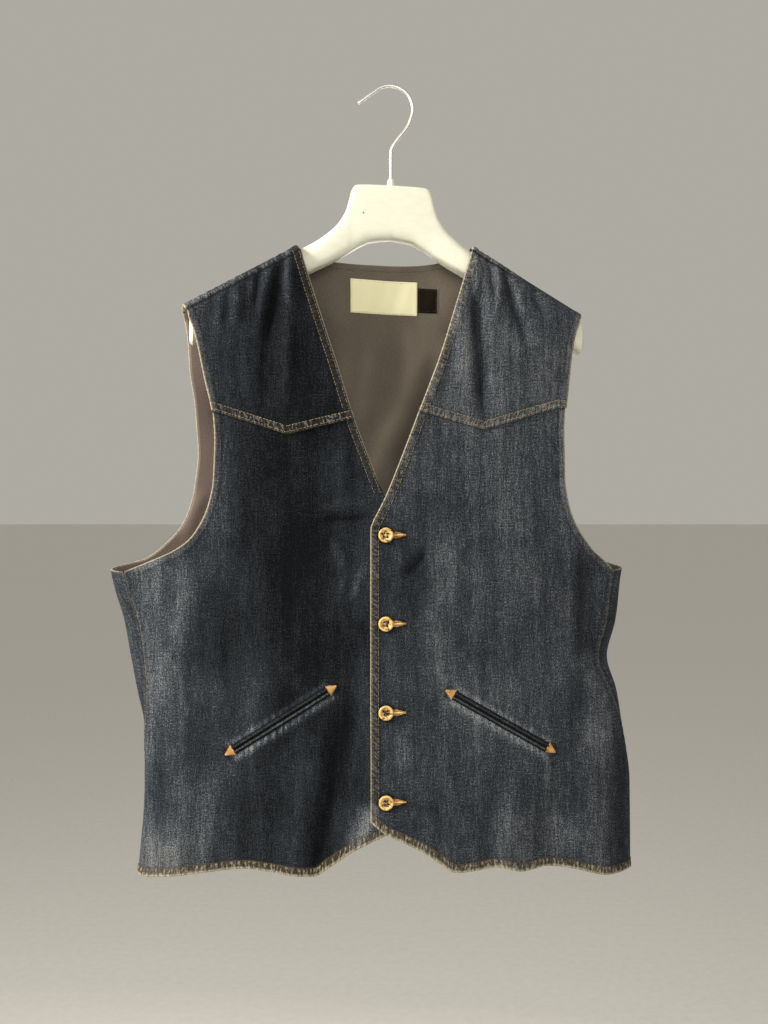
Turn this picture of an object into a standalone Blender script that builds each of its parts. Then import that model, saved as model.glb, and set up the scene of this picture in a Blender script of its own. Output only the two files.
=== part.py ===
"""Western denim vest, buttoned, hanging on a broad-shouldered plastic hanger.

Metres, +Z up. The origin is the underside of the hook's crown, where a rail carries the hanger.
+X runs to the wearer's left, the front faces -Y, and "drop" is the distance below the origin.
"""

import math

import bmesh
import bpy
import numpy as np
from mathutils import Matrix, Vector
from mathutils.bvhtree import BVHTree

# Cloth walls and gaps
DENIM = 0.0016
LINING = 0.0010
LABEL = 0.0010
SEAM = 0.0003
ON_CLOTH = 0.0004
SHOULDER_REST = 0.0005

# Shoulders: the ridge that rests on the hanger
NECK_X = 0.0925
NECK_DROP = 0.1706
TIP_X = 0.2095
TIP_DROP = 0.2368
RIDGE_DEPTH_NECK = 0.0185
RIDGE_DEPTH_TIP = 0.026
DOME_DROP = 0.012
HANG_DROP = 0.160

# Body: the pit closes the armhole, and the powers round each section's sides and faces
PIT_DROP = 0.508
SIDE_POWER = 0.77
FACE_POWER = 0.85

# Front closure and yoke
EXTENSION = 0.0153
YOKE_NECK_X = 0.0338
YOKE_POINT_X = 0.1045
YOKE_ARM_X = 0.183
YOKE_POINT_DROP = 0.366
YOKE_NECK_DROP = 0.348
YOKE_ARM_DROP = 0.342
YOKE_LAP = 0.012
CLOSURE_FADE = (0.034, 0.064)

# Hem
FRONT_CORNER_DROP = 0.7612
SIDE_HEM_DROP = 0.8215
BACK_HEM_DROP = 0.797
HEM_DEPTH = 0.022
BACK_NECK_DROP = 0.183

# Buttons
BUTTON_COUNT = 4
BUTTON_TOP_DROP = 0.4706
BUTTON_SPACING = 0.0901
BUTTON_RADIUS = 0.0076
BUTTON_STEPS = 16
# Radius and height from the dished face, over the rim and round to the underside
BUTTON_PROFILE = (
    (0.0, 0.0014), (0.0042, 0.0014), (0.0052, 0.0027), (0.0066, 0.0029), (BUTTON_RADIUS, 0.0018),
    (0.0070, 0.0006), (0.0050, 0.0), (0.0, 0.0),
)
HOLE_RADIUS = 0.0010
HOLE_PITCH = 0.0036
HOLE_DEPTH = 0.02
HOLE_SIDES = 8

# Pockets, from the inner tack to the outer one, and how much lower the left one starts
POCKET_INNER = (0.0610, 0.6295)
POCKET_TILT = 0.0025
POCKET_OUTER = (0.1630, 0.6906)
JET_WIDTH = 0.0040
JET_CROWN = 0.0004
JET_WALL = 0.0010
JET_GAP = 0.0014
TACK_RADIUS = 0.0066
TACK_WALL = 0.0012
TACK_CLEAR = 0.0042
TACK_TAPER = 0.85
JET_STEPS = 9

# Labels inside the back neck: centre x, centre drop, width, height, and the slope they are sewn at
MAIN_LABEL = (-0.0073, 0.2165, 0.0715, 0.035)
CARE_LABEL = (0.0395, 0.2187, 0.0205, 0.025)
LABEL_SLOPE = 0.024

# Hanger
HANGER_TURN = 10.0
HANGER_END = 0.2085
ARM_BOTTOM_NECK = (0.089, 0.2007)
ARM_BOTTOM_END = 0.2787
ARM_DEPTH_NECK = 0.0135
ARM_DEPTH_END = 0.0165
ARM_POWER = 2.15
RING_POINTS = 16
SHARP_ANGLE = math.radians(40)
WIRE_RADIUS = 0.0018
HOOK_RADIUS = 0.0235
HOOK_ARC = (-25.0, 128.0)
HOOK_TAIL = 0.026
STEM_BEND_DROP = 0.068
STEM_EASE = 0.008
COLLAR_RADIUS = 0.0042
COLLAR_HEIGHT = 0.0075
COLLAR_TAPER = (0.85, 0.75)
COLLAR_BEVEL = 0.002
COLLAR_STEPS = 16

# Body sections: half widths to the wearer's left and right, depths to front and back, and the side seam's
# angle from centre front
SECTION_COLUMNS = ("drop", "left", "right", "front", "back", "seam")
SECTIONS = (
    (0.150, 0.3340, 0.3340, 0.030, 0.030, 70.0),
    (0.290, 0.3340, 0.3340, 0.033, 0.034, 70.0),
    (0.400, 0.2960, 0.2960, 0.037, 0.038, 70.0),
    (0.470, 0.2720, 0.2760, 0.039, 0.040, 70.0),
    (0.504, 0.2525, 0.2825, 0.039, 0.040, 69.0),
    (0.561, 0.2440, 0.2690, 0.038, 0.038, 67.5),
    (0.600, 0.2340, 0.2626, 0.038, 0.037, 68.0),
    (0.635, 0.2437, 0.2563, 0.038, 0.037, 72.0),
    (0.669, 0.2490, 0.2500, 0.039, 0.038, 83.0),
    (0.730, 0.2570, 0.2500, 0.041, 0.040, 94.0),
    (0.825, 0.2576, 0.2570, 0.043, 0.042, 96.0),
)
# How the vest hangs: its turn about Z, its sway along X, the x of the closure and of the front armholes'
# middle on it, and how much higher the wearer's left front hangs than the pattern, and the right one lower
HANG_COLUMNS = ("drop", "turn", "sway", "closure", "arm", "lift")
HANG = (
    (0.150, 10.0, -0.0062, 0.0, 0.0, 0.0035),
    (0.290, 10.0, -0.0062, -0.0025, 0.0025, 0.0035),
    (0.348, 9.0, -0.0060, -0.0044, 0.0040, 0.0040),
    (0.400, 7.2, -0.0055, -0.0043, 0.0035, 0.0030),
    (0.470, 5.0, -0.0060, -0.0028, 0.0020, 0.0010),
    (0.508, 4.0, -0.0060, -0.0021, 0.0, 0.0),
    (0.561, 3.2, -0.0060, -0.0015, 0.0, 0.0),
    (0.635, 2.2, -0.0060, -0.0007, 0.0, 0.0),
    (0.730, 1.5, -0.0060, 0.0, 0.0, 0.0),
    (0.825, 1.3, -0.0060, 0.0, 0.0, 0.0015),
)

# Edges of the cut, as the wearer's left side has them: drop, then x or degrees from centre back
NECKLINE = (
    (NECK_DROP, NECK_X), (0.225, 0.0752), (0.280, 0.0575), (0.347, 0.0340), (0.391, 0.0172), (0.434, -0.0003),
    (0.4615, -EXTENSION), (0.9, -EXTENSION),
)
FRONT_ARMHOLE = (
    (TIP_DROP, TIP_X), (0.265, 0.199), (0.317, 0.189), (0.345, 0.183), (0.374, 0.181), (0.415, 0.1815),
    (0.435, 0.1845), (0.450, 0.189), (0.471, 0.2005), (0.486, 0.216), (0.497, 0.235), (PIT_DROP, 0.2545),
)
BACK_ARMHOLE = (
    (TIP_DROP, 33.1), (0.279, 31.8), (0.318, 31.6), (0.372, 34.0), (0.418, 38.3), (0.4537, 44.3),
    (0.4785, 51.5), (0.4968, 60.5), (0.5020, 74.0), (0.5055, 91.0), (PIT_DROP, 111.0),
)
PIT_EASE_DROP = 0.471
# Front hem: x from the closure, then drop
FRONT_HEM = (
    (-EXTENSION, FRONT_CORNER_DROP), (0.0, 0.774), (0.0165, 0.7815), (0.030, 0.788), (0.041, 0.7945),
    (0.055, 0.8045), (0.0715, 0.8140), (0.088, 0.8125), (0.140, 0.808), (0.190, 0.8125),
    (0.245, SIDE_HEM_DROP),
)

# Largest folds, as soft ridges (rise above 0) and troughs along a line from top to low
FOLD_COLUMNS = ("x_top", "drop_top", "x_low", "drop_low", "width", "rise")
FRONT_FOLDS = (
    (0.099, 0.185, 0.097, 0.350, 0.009, -0.0035),
    (0.081, 0.205, 0.079, 0.325, 0.010, 0.0025),
    (0.120, 0.196, 0.153, 0.275, 0.009, -0.0025),
    (-0.116, 0.190, -0.128, 0.350, 0.010, -0.0035),
    (-0.102, 0.180, -0.105, 0.345, 0.009, 0.0030),
    (0.038, 0.470, 0.032, 0.600, 0.010, -0.0025),
    (0.204, 0.480, 0.214, 0.610, 0.012, -0.0070),
    (0.200, 0.560, 0.232, 0.730, 0.022, 0.0045),
    (-0.185, 0.480, -0.236, 0.650, 0.016, 0.0035),
    (-0.095, 0.440, -0.110, 0.640, 0.042, -0.0030),
    (-0.030, 0.600, -0.082, 0.850, 0.015, -0.0045),
    (-0.066, 0.650, -0.101, 0.880, 0.017, 0.0045),
    (-0.148, 0.700, -0.145, 0.900, 0.024, -0.0060),
    (-0.205, 0.680, -0.218, 0.900, 0.020, 0.0050),
    (0.130, 0.720, 0.135, 0.900, 0.015, 0.0040),
    (0.170, 0.700, 0.180, 0.900, 0.017, -0.0055),
    (0.220, 0.700, 0.226, 0.900, 0.016, 0.0040),
)
BACK_FOLDS = (
    (0.120, 0.240, 0.095, 0.480, 0.024, 0.0040),
    (-0.130, 0.240, -0.105, 0.500, 0.026, -0.0040),
    (0.060, 0.520, 0.075, 0.900, 0.030, -0.0050),
    (-0.050, 0.560, -0.060, 0.900, 0.028, 0.0050),
    (0.165, 0.600, 0.170, 0.900, 0.026, 0.0055),
    (-0.160, 0.620, -0.170, 0.900, 0.024, -0.0050),
)
FOLD_END = 0.3

# Hanger plate, from its middle out to the neck: x, top drop, bottom drop, half depth, corner power
PLATE_COLUMNS = ("x", "top", "bottom", "depth", "power")
PLATE = (
    (0.0000, 0.1047, 0.1611, 0.0110, 5.0),
    (0.0210, 0.1049, 0.1622, 0.0110, 5.0),
    (0.0345, 0.1055, 0.1673, 0.0110, 5.0),
    (0.0390, 0.1068, 0.1700, 0.0110, 5.0),
    (0.0415, 0.1100, 0.1716, 0.0110, 4.8),
    (0.0430, 0.1150, 0.1726, 0.0110, 4.6),
    (0.0453, 0.1248, 0.1742, 0.0111, 4.4),
    (0.0510, 0.1385, 0.1780, 0.0113, 4.0),
    (0.0585, 0.1490, 0.1832, 0.0117, 3.6),
    (0.0688, 0.1583, 0.1895, 0.0123, 3.0),
    (0.0806, 0.1675, 0.1958, 0.0130, 2.3),
)
ARM_SECTIONS = 8

# Rows of the fronts below the shoulder: drop at the inner and the outer edge, and steps to the next stop
FRONT_STOPS = (
    (NECK_DROP + DOME_DROP, TIP_DROP + DOME_DROP, 5),
    (YOKE_NECK_DROP - YOKE_LAP, YOKE_ARM_DROP - YOKE_LAP, 2),
    (YOKE_NECK_DROP, YOKE_ARM_DROP, 4),
    (0.430, 0.450, 9),
    (0.500, PIT_DROP, 11),
    (FRONT_CORNER_DROP - HEM_DEPTH, SIDE_HEM_DROP - HEM_DEPTH, 1),
    (FRONT_CORNER_DROP, SIDE_HEM_DROP, 0),
)
# Columns of the fronts, drawn together towards the closure, and the share of one more beside it
FRONT_COLUMNS = 16
COLUMN_POWER = 1.25
CLOSURE_COLUMN = 0.048
HEM_POWER = 1.5
DOME_ROWS = 4
STOP_ROWS = [DOME_ROWS + sum(stop[-1] for stop in FRONT_STOPS[:number]) for number in range(len(FRONT_STOPS))]
LAP_ROW, EDGE_ROW, PIT_ROW, LAST_ROW = STOP_ROWS[1], STOP_ROWS[2], STOP_ROWS[4], STOP_ROWS[6]
# Rows of the back: drop at its middle and at its outer edges, and steps to the next stop
BACK_STOPS = (
    (0.320, 0.320, 3),
    (0.430, 0.430, 3),
    (0.490, 0.480, 3),
    (0.530, 0.500, 5),
    (0.580, PIT_DROP, 11),
    (SIDE_HEM_DROP - HEM_DEPTH, SIDE_HEM_DROP - HEM_DEPTH, 1),
    (SIDE_HEM_DROP, SIDE_HEM_DROP, 0),
)
BACK_FIRST_STEPS = 3
# Columns of the back by x at the neck, and the share of its width at the lining's edge
BACK_NECK_X = (0.026, 0.050, 0.071, 0.085, 0.0893, 0.0914, NECK_X)
BACK_SHOULDER_COLUMNS = 8
LINING_INSET = 0.985

COLOURS = {
    "denim": ((0.042, 0.055, 0.085), 0.85, 0.0),
    "lining": ((0.115, 0.105, 0.105), 0.80, 0.0),
    "horn": ((0.55, 0.36, 0.14), 0.35, 0.0),
    "thread": ((0.52, 0.27, 0.09), 0.75, 0.0),
    "label_cream": ((0.78, 0.72, 0.50), 0.80, 0.0),
    "label_brown": ((0.028, 0.018, 0.012), 0.75, 0.0),
    "plastic": ((0.82, 0.80, 0.72), 0.40, 0.0),
    "steel": ((0.72, 0.71, 0.68), 0.28, 1.0),
}


def smooth_curve(at, knots, values):
    """Cubic curve through the knots that never overshoots them, held level past both ends."""
    knots, values = np.asarray(knots, float), np.asarray(values, float)
    at = np.clip(np.asarray(at, float), knots[0], knots[-1])
    step = np.diff(knots)
    slope = np.diff(values) / step
    tangent = np.zeros(len(knots))
    same_way = slope[:-1] * slope[1:] > 0
    mean = 2 * slope[:-1] * slope[1:] / np.where(same_way, slope[:-1] + slope[1:], 1.0)
    tangent[1:-1] = np.where(same_way, mean, 0.0)
    tangent[0], tangent[-1] = slope[0], slope[-1]
    i = np.clip(np.searchsorted(knots, at, side="right") - 1, 0, len(step) - 1)
    t = (at - knots[i]) / step[i]
    start = (1 + 2 * t) * (1 - t) ** 2 * values[i] + t * (1 - t) ** 2 * step[i] * tangent[i]
    end = t * t * (3 - 2 * t) * values[i + 1] + t * t * (t - 1) * step[i] * tangent[i + 1]
    return start + end


def table_curve(at, rows, column=1):
    """Smooth curve through one column of a table, against its first column."""
    rows = np.asarray(rows, float)
    return smooth_curve(at, rows[:, 0], rows[:, column])


def section(name, drop):
    """One column of the body sections at each drop."""
    return table_curve(drop, SECTIONS, SECTION_COLUMNS.index(name))


def hang(name, drop):
    """One column of the way the vest hangs at each drop."""
    return table_curve(drop, HANG, HANG_COLUMNS.index(name))


def ease(t):
    """0 to 1 with level ends."""
    t = np.clip(t, 0.0, 1.0)
    return t * t * (3 - 2 * t)


def shoulder_drop(x):
    slope = (TIP_DROP - NECK_DROP) / (TIP_X - NECK_X)
    return NECK_DROP + (np.abs(x) - NECK_X) * slope


def half_width(x, drop):
    return np.where(x >= 0, section("left", drop), section("right", drop))


def angle_at(x, drop):
    """Angle from centre front, in radians, of a point x across the form's front."""
    share = np.clip(np.abs(x) / half_width(x, drop), 0.0, 1.0)
    return np.sign(x) * np.arcsin(share ** (1 / SIDE_POWER))


def fold_rise(rows, x, drop):
    """Height of the folds above the smooth form."""
    rise = np.zeros(np.shape(x))
    for x_top, drop_top, x_low, drop_low, width, height in rows:
        along = (drop - drop_top) / (drop_low - drop_top)
        across = (x - x_top - (x_low - x_top) * along) / width
        ends = ease(along / FOLD_END) * ease((1 - along) / FOLD_END)
        rise = rise + height * np.exp(-across * across) * ends
    return rise


def across_form(angle, drop):
    """Distance x from the closure of a point of the form, before turn and sway."""
    sine = np.sin(angle)
    return half_width(sine, drop) * np.sign(sine) * np.abs(sine) ** SIDE_POWER


def form(angle, drop):
    """Points of the cloth's inner face, by angle round the body from centre front and by drop."""
    angle, drop = np.broadcast_arrays(np.asarray(angle, float), np.asarray(drop, float))
    cosine = np.cos(angle)
    x = across_form(angle, drop)
    facing = np.sign(cosine) * np.abs(cosine) ** FACE_POWER
    below = np.maximum(drop - shoulder_drop(x + hang("sway", drop)), 0.0)
    out_along = np.clip((np.abs(x) - NECK_X) / (TIP_X - NECK_X), 0.0, 1.0)
    ridge = RIDGE_DEPTH_NECK + (RIDGE_DEPTH_TIP - RIDGE_DEPTH_NECK) * out_along
    dome = np.sqrt(1 - (1 - np.minimum(below / DOME_DROP, 1.0)) ** 2)
    front = cosine >= 0
    full = np.where(front, section("front", drop), section("back", drop))
    folds = np.where(front, fold_rise(FRONT_FOLDS, x, drop), fold_rise(BACK_FOLDS, x, drop))
    hung = ease(below / HANG_DROP)
    depth = ridge * dome + (full - ridge) * hung + folds * ease(below / DOME_DROP / 2)
    y = -facing * depth
    turn = np.radians(hang("turn", drop))
    x = x + hang("sway", drop)
    across, back = x * np.cos(turn) - y * np.sin(turn), x * np.sin(turn) + y * np.cos(turn)
    return np.stack((across, back, -drop), axis=-1)


def outward(angle, drop, step=0.001, down_step=0.0001):
    """Unit normals of the form, away from the body, from steps that stay below the shoulder ridge."""
    sway = hang("sway", drop)
    ahead, behind = across_form(angle + step, drop) + sway, across_form(angle - step, drop) + sway
    slant = shoulder_drop(ahead) - shoulder_drop(behind)
    across = form(angle + step, drop + slant / 2) - form(angle - step, drop - slant / 2)
    down = form(angle, drop + down_step) - form(angle, drop)
    normals = np.cross(down, across)
    return normals / np.linalg.norm(normals, axis=-1, keepdims=True)


def side_seam(side, drop):
    return side * np.radians(section("seam", drop))


def hung_drop(side, drop):
    """Where a drop of the pattern hangs on one front."""
    return drop - side * hang("lift", drop)


def front_inner(side, drop):
    """Angle of a front's inner edge at a drop of the pattern: its neckline, then its closing edge."""
    return angle_at(side * table_curve(drop, NECKLINE) + hang("closure", drop), hung_drop(side, drop))


def front_outer(side, drop):
    """Angle of a front's outer edge at a drop of the pattern: its armhole, then the side seam."""
    nominal = table_curve(drop, FRONT_ARMHOLE)
    seam_x = half_width(side, PIT_DROP) * np.sin(np.radians(section("seam", PIT_DROP))) ** SIDE_POWER
    late = np.clip((drop - PIT_EASE_DROP) / (PIT_DROP - PIT_EASE_DROP), 0.0, 1.0) ** 2
    x = side * (nominal + (seam_x - FRONT_ARMHOLE[-1][1]) * late) + hang("arm", drop)
    hung = hung_drop(side, drop)
    return np.where(drop < PIT_DROP, angle_at(x, hung), side_seam(side, hung))


def closure_lift(x):
    """How far the overlapping front stands off near the closure."""
    start, end = CLOSURE_FADE
    return (DENIM + SEAM) * (1 - ease((x - start) / (end - start)))


def seam_gap(grid, edge, inward):
    """Draws one edge of a grid of points half a seam's width back from the seam line."""
    step = grid[inward] - grid[edge]
    length = np.linalg.norm(step, axis=-1, keepdims=True)
    grid[edge] += step / np.maximum(length, 1e-9) * SEAM / 2


def stretch(stops):
    """Rows of values through a list of stops, whose last number is the steps to the next stop."""
    rows = [np.linspace(a[:-1], b[:-1], a[-1], endpoint=False) for a, b in zip(stops, stops[1:])]
    return np.concatenate(rows + [np.array([stops[-1][:-1]])])


def yoke_seam_drop(x):
    """Drop of the yoke's pointed lower edge."""
    corners = (YOKE_NECK_X, YOKE_POINT_X, YOKE_ARM_X)
    return np.interp(x, corners, (YOKE_NECK_DROP, YOKE_POINT_DROP, YOKE_ARM_DROP))


def dome_drops():
    """Drops below the ridge of the rows that turn over the shoulder."""
    return DOME_DROP * (1 - np.cos(np.linspace(0.0, np.pi / 2, DOME_ROWS + 1)))[:-1]


def bow(line, level, share):
    """How far a line leaves the straight row between its own two ends."""
    away = line - level
    return away - away[0] - (away[-1] - away[0]) * share


def front_grid(side):
    """Angles, drops and distances from the closure of one front, with rows down from the shoulder seam."""
    dome = dome_drops()[:, None]
    drops = np.concatenate((dome + (NECK_DROP, TIP_DROP), stretch(FRONT_STOPS)))
    inner, outer = drops[:, :1], drops[:, 1:]
    share = np.insert(np.linspace(0.0, 1.0, FRONT_COLUMNS) ** COLUMN_POWER, 2, CLOSURE_COLUMN)
    angle = front_inner(side, inner) + (front_outer(side, outer) - front_inner(side, inner)) * share
    level = inner + (outer - inner) * share
    row = np.arange(len(drops))[:, None]
    x = across_form(angle, hung_drop(side, level))
    from_closure = side * (x - hang("closure", level))
    ridge_line = shoulder_drop(x[DOME_ROWS] + hang("sway", TIP_DROP)) + DOME_DROP
    ridge = bow(ridge_line, level[DOME_ROWS], share)
    seam = bow(yoke_seam_drop(from_closure[EDGE_ROW]), level[EDGE_ROW], share)
    hem = bow(table_curve(from_closure[LAST_ROW], FRONT_HEM), level[LAST_ROW], share)
    level = level + ridge * np.interp(row, (DOME_ROWS, LAP_ROW), (1, 0))
    level = level + seam * np.interp(row, (DOME_ROWS, LAP_ROW, EDGE_ROW, PIT_ROW), (0, 1, 1, 0))
    level = level + hem * np.interp(row, (PIT_ROW, LAST_ROW), (0, 1)) ** HEM_POWER
    drop = hung_drop(side, level)
    drop[:DOME_ROWS] = shoulder_drop(x[:DOME_ROWS] + hang("sway", TIP_DROP)) + dome
    return angle, drop, from_closure


def front_and_yoke(side):
    """Inner-face points of a front panel and of the yoke that laps over its top rows."""
    angle, drop, from_closure = front_grid(side)
    points, normals = form(angle, drop), outward(angle, drop)
    if side > 0:
        points = points + normals * closure_lift(from_closure)[..., None]
    yoke = points[: EDGE_ROW + 1].copy()
    yoke[LAP_ROW:] += normals[LAP_ROW : EDGE_ROW + 1] * (DENIM + SEAM)
    seam_gap(yoke, (0, slice(None)), (1, slice(None)))
    panel = points[LAP_ROW:].copy()
    seam_gap(panel, (slice(None), -1), (slice(None), -2))
    return panel, yoke


def tip_share(x):
    """Share of the shoulder tip's angle at an x along the back's top edge."""
    tip = np.radians(BACK_ARMHOLE[0][1])
    return np.arcsin((np.asarray(x) / section("left", TIP_DROP)) ** (1 / SIDE_POWER)) / tip


def back_top_drop(share):
    """Drop of the back's top edge: the neckline, then the shoulder seam."""
    side, tip = np.sign(share), np.radians(BACK_ARMHOLE[0][1])
    x = section("left", TIP_DROP) * np.sin(np.abs(share) * tip) ** SIDE_POWER
    sway = float(hang("sway", TIP_DROP))
    neck_point = shoulder_drop(side * NECK_X + sway)
    neck = BACK_NECK_DROP - (BACK_NECK_DROP - neck_point) * np.minimum(x / NECK_X, 1.0) ** 3
    return np.where(x > NECK_X, shoulder_drop(side * x + sway), neck)


def back_shares():
    """Column shares across the back, with a column at each neck point and at the lining's edges."""
    neck = tip_share(BACK_NECK_X)
    shoulder = np.linspace(neck[-1], LINING_INSET, BACK_SHOULDER_COLUMNS)[1:]
    left = np.concatenate((neck, shoulder, [1.0]))
    return np.concatenate((-left[::-1], [0.0], left))


def back_grid():
    """Angles and drops of the back from its top edge to its hem, with columns from the wearer's left."""
    share = back_shares()[::-1]
    top = back_top_drop(share)
    rows = [top + dome_drops()[:, None]]
    edges = [rows[0]]
    reach, edge, steps = top + DOME_DROP, top + DOME_DROP, BACK_FIRST_STEPS
    for middle_stop, edge_stop, next_steps in BACK_STOPS:
        stop = middle_stop + (edge_stop - middle_stop) * share ** 2
        part_way = np.linspace(0.0, 1.0, steps, endpoint=False)[:, None]
        rows.append(reach + (stop - reach) * part_way)
        edges.append(edge + (edge_stop - edge) * part_way)
        reach, edge, steps = stop, np.full_like(top, edge_stop), next_steps
    drop = np.concatenate(rows + [reach[None, :]])
    edge_drop = np.concatenate(edges + [edge[None, :]])
    armhole = np.radians(table_curve(edge_drop, BACK_ARMHOLE))
    seam = np.pi - np.radians(section("seam", edge_drop))
    outer = np.where(edge_drop < PIT_DROP, armhole, seam)
    hem = BACK_HEM_DROP + (SIDE_HEM_DROP - BACK_HEM_DROP) * share ** 2
    below_pit = np.maximum(drop - PIT_DROP, 0.0) / (SIDE_HEM_DROP - PIT_DROP)
    return np.pi - outer * share, drop + (hem - SIDE_HEM_DROP) * below_pit


def collection_of(name):
    made = bpy.data.collections.new(name)
    bpy.context.scene.collection.children.link(made)
    return made


def material_of(name):
    colour, roughness, metallic = COLOURS[name]
    made = bpy.data.materials.new(name)
    made.use_nodes = True
    shader = made.node_tree.nodes["Principled BSDF"]
    shader.inputs["Base Color"].default_value = (*colour, 1.0)
    shader.inputs["Roughness"].default_value = roughness
    shader.inputs["Metallic"].default_value = metallic
    return made


def add_object(name, mesh, material, collection):
    made = bpy.data.objects.new(name, mesh)
    collection.objects.link(made)
    if material:
        mesh.materials.append(material)
    return made


def grid_mesh(name, points):
    """Open surface through a grid of points, its faces turned outward."""
    rows, columns = points.shape[:2]
    shell = bmesh.new()
    bmesh.ops.create_grid(shell, x_segments=columns - 1, y_segments=rows - 1, size=1.0)
    for vertex in shell.verts:
        column = round((vertex.co.x + 1) / 2 * (columns - 1))
        row = round((1 - vertex.co.y) / 2 * (rows - 1))
        vertex.co = points[row, column]
    bmesh.ops.triangulate(shell, faces=shell.faces, quad_method="FIXED")
    mesh = bpy.data.meshes.new(name)
    shell.to_mesh(mesh)
    shell.free()
    mesh.shade_smooth()
    return mesh


def add_wall(name, points, wall, material, collection, stand_off=0.0):
    """Cloth of a given thickness whose inner face is a grid of points, or stands off it along its normals."""
    made = add_object(name, grid_mesh(name, points), material, collection)
    if stand_off:
        move = made.modifiers.new("stand off", "DISPLACE")
        move.mid_level = 0.0
        move.strength = stand_off
    solid = made.modifiers.new("wall", "SOLIDIFY")
    solid.thickness = wall
    solid.offset = 1.0
    return made


def surface_of(made):
    """Search tree over an object's finished outer and inner faces."""
    graph = bpy.context.evaluated_depsgraph_get()
    return BVHTree.FromObject(made, graph)


def outer_point(tree, x, drop, from_y):
    """Point and normal where a ray along Y first meets a cloth wall."""
    direction = Vector((0.0, -math.copysign(1.0, from_y), 0.0))
    place, normal, _, _ = tree.ray_cast(Vector((x, from_y, -drop)), direction)
    return place, normal


def laid_grid(tree, xs, drops, from_y, clearance):
    """Points moved off a cloth wall, under a grid of x and drop values seen along Y."""
    rows = []
    for x_row, drop_row in zip(xs, drops):
        row = [outer_point(tree, x, drop, from_y) for x, drop in zip(x_row, drop_row)]
        rows.append([place + normal * clearance for place, normal in row])
    return np.array([[tuple(point) for point in row] for row in rows])


def add_panels(materials, parts):
    """Fronts, yokes, back and lining."""
    panels = {}
    for side, word in ((1, "left"), (-1, "right")):
        panel, yoke = front_and_yoke(side)
        order = slice(None, None, side)
        panels[word] = add_wall(f"front_{word}", panel[:, order], DENIM, materials["denim"], parts)
        add_wall(f"yoke_{word}", yoke[:, order], DENIM, materials["denim"], parts)
    angle, drop = back_grid()
    back = form(angle, drop)
    lining = back[1:-1, 1:-1].copy()
    seam_gap(back, (0, slice(None)), (1, slice(None)))
    seam_gap(back, (slice(None), 0), (slice(None), 1))
    seam_gap(back, (slice(None), -1), (slice(None), -2))
    add_wall("back", back, DENIM, materials["denim"], parts)
    lining_off = -SEAM - LINING
    panels["lining"] = add_wall("back_lining", lining, LINING, materials["lining"], parts, lining_off)
    return panels


def facing_matrix(place, normal, roll=0.0):
    """Seats a piece that is modelled on Z at a point, facing along a normal, with local X level."""
    across = Vector((0.0, 0.0, 1.0)).cross(normal).normalized()
    up = normal.cross(across)
    seat = Matrix((across, up, normal)).transposed().to_4x4()
    return Matrix.Translation(place) @ seat @ Matrix.Rotation(roll, 4, "Z")


def turned_object(name, profile, steps, material, collection):
    """Solid turned about Z from a closed profile of radius and height pairs."""
    mesh = bpy.data.meshes.new(name)
    count = len(profile)
    closed = profile[0][0] > 0
    edges = [(i, (i + 1) % count) for i in range(count if closed else count - 1)]
    mesh.from_pydata([(radius, 0.0, height) for radius, height in profile], edges, [])
    made = add_object(name, mesh, material, collection)
    screw = made.modifiers.new("turn", "SCREW")
    screw.steps = screw.render_steps = steps
    screw.use_merge_vertices = True
    screw.merge_threshold = 0.00001
    screw.use_normal_calculate = True
    screw.use_normal_flip = closed
    return made


def hole_cutter(collection):
    """Four pins that bore a button."""
    cutter = bmesh.new()
    for turn in range(4):
        angle = math.radians(45 + 90 * turn)
        reach = HOLE_PITCH / math.sqrt(2)
        place = Matrix.Translation((reach * math.cos(angle), reach * math.sin(angle), 0.0))
        bmesh.ops.create_cone(
            cutter, cap_ends=True, segments=HOLE_SIDES, radius1=HOLE_RADIUS, radius2=HOLE_RADIUS,
            depth=HOLE_DEPTH, matrix=place,
        )
    mesh = bpy.data.meshes.new("button_holes")
    cutter.to_mesh(mesh)
    cutter.free()
    made = add_object("button_holes", mesh, None, collection)
    made.hide_render = True
    made.display_type = "WIRE"
    return made


def add_buttons(front, materials, parts, cutters):
    """Four-hole buttons seated on the overlapping front."""
    tree = surface_of(front)
    for number in range(BUTTON_COUNT):
        drop = BUTTON_TOP_DROP + BUTTON_SPACING * number
        centre = form(angle_at(hang("closure", drop), drop), drop)
        place, normal = outer_point(tree, centre[0], drop, -1.0)
        seat = facing_matrix(place + normal * ON_CLOTH, normal)
        button = turned_object(f"button_{number + 1}", BUTTON_PROFILE, BUTTON_STEPS, materials["horn"], parts)
        cutter = hole_cutter(cutters)
        for piece in (button, cutter):
            piece.matrix_world = seat
        bore = button.modifiers.new("holes", "BOOLEAN")
        bore.object = cutter


def pocket_frame(side):
    """The pocket's two ends, the way along it and the way down across it, as x and drop."""
    inner = np.array((side * POCKET_INNER[0], POCKET_INNER[1] + side * POCKET_TILT))
    outer = np.array((side * POCKET_OUTER[0], POCKET_OUTER[1]))
    along = (outer - inner) / np.linalg.norm(outer - inner)
    across = np.array((-along[1], along[0])) * side
    return inner, outer, along, across


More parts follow.
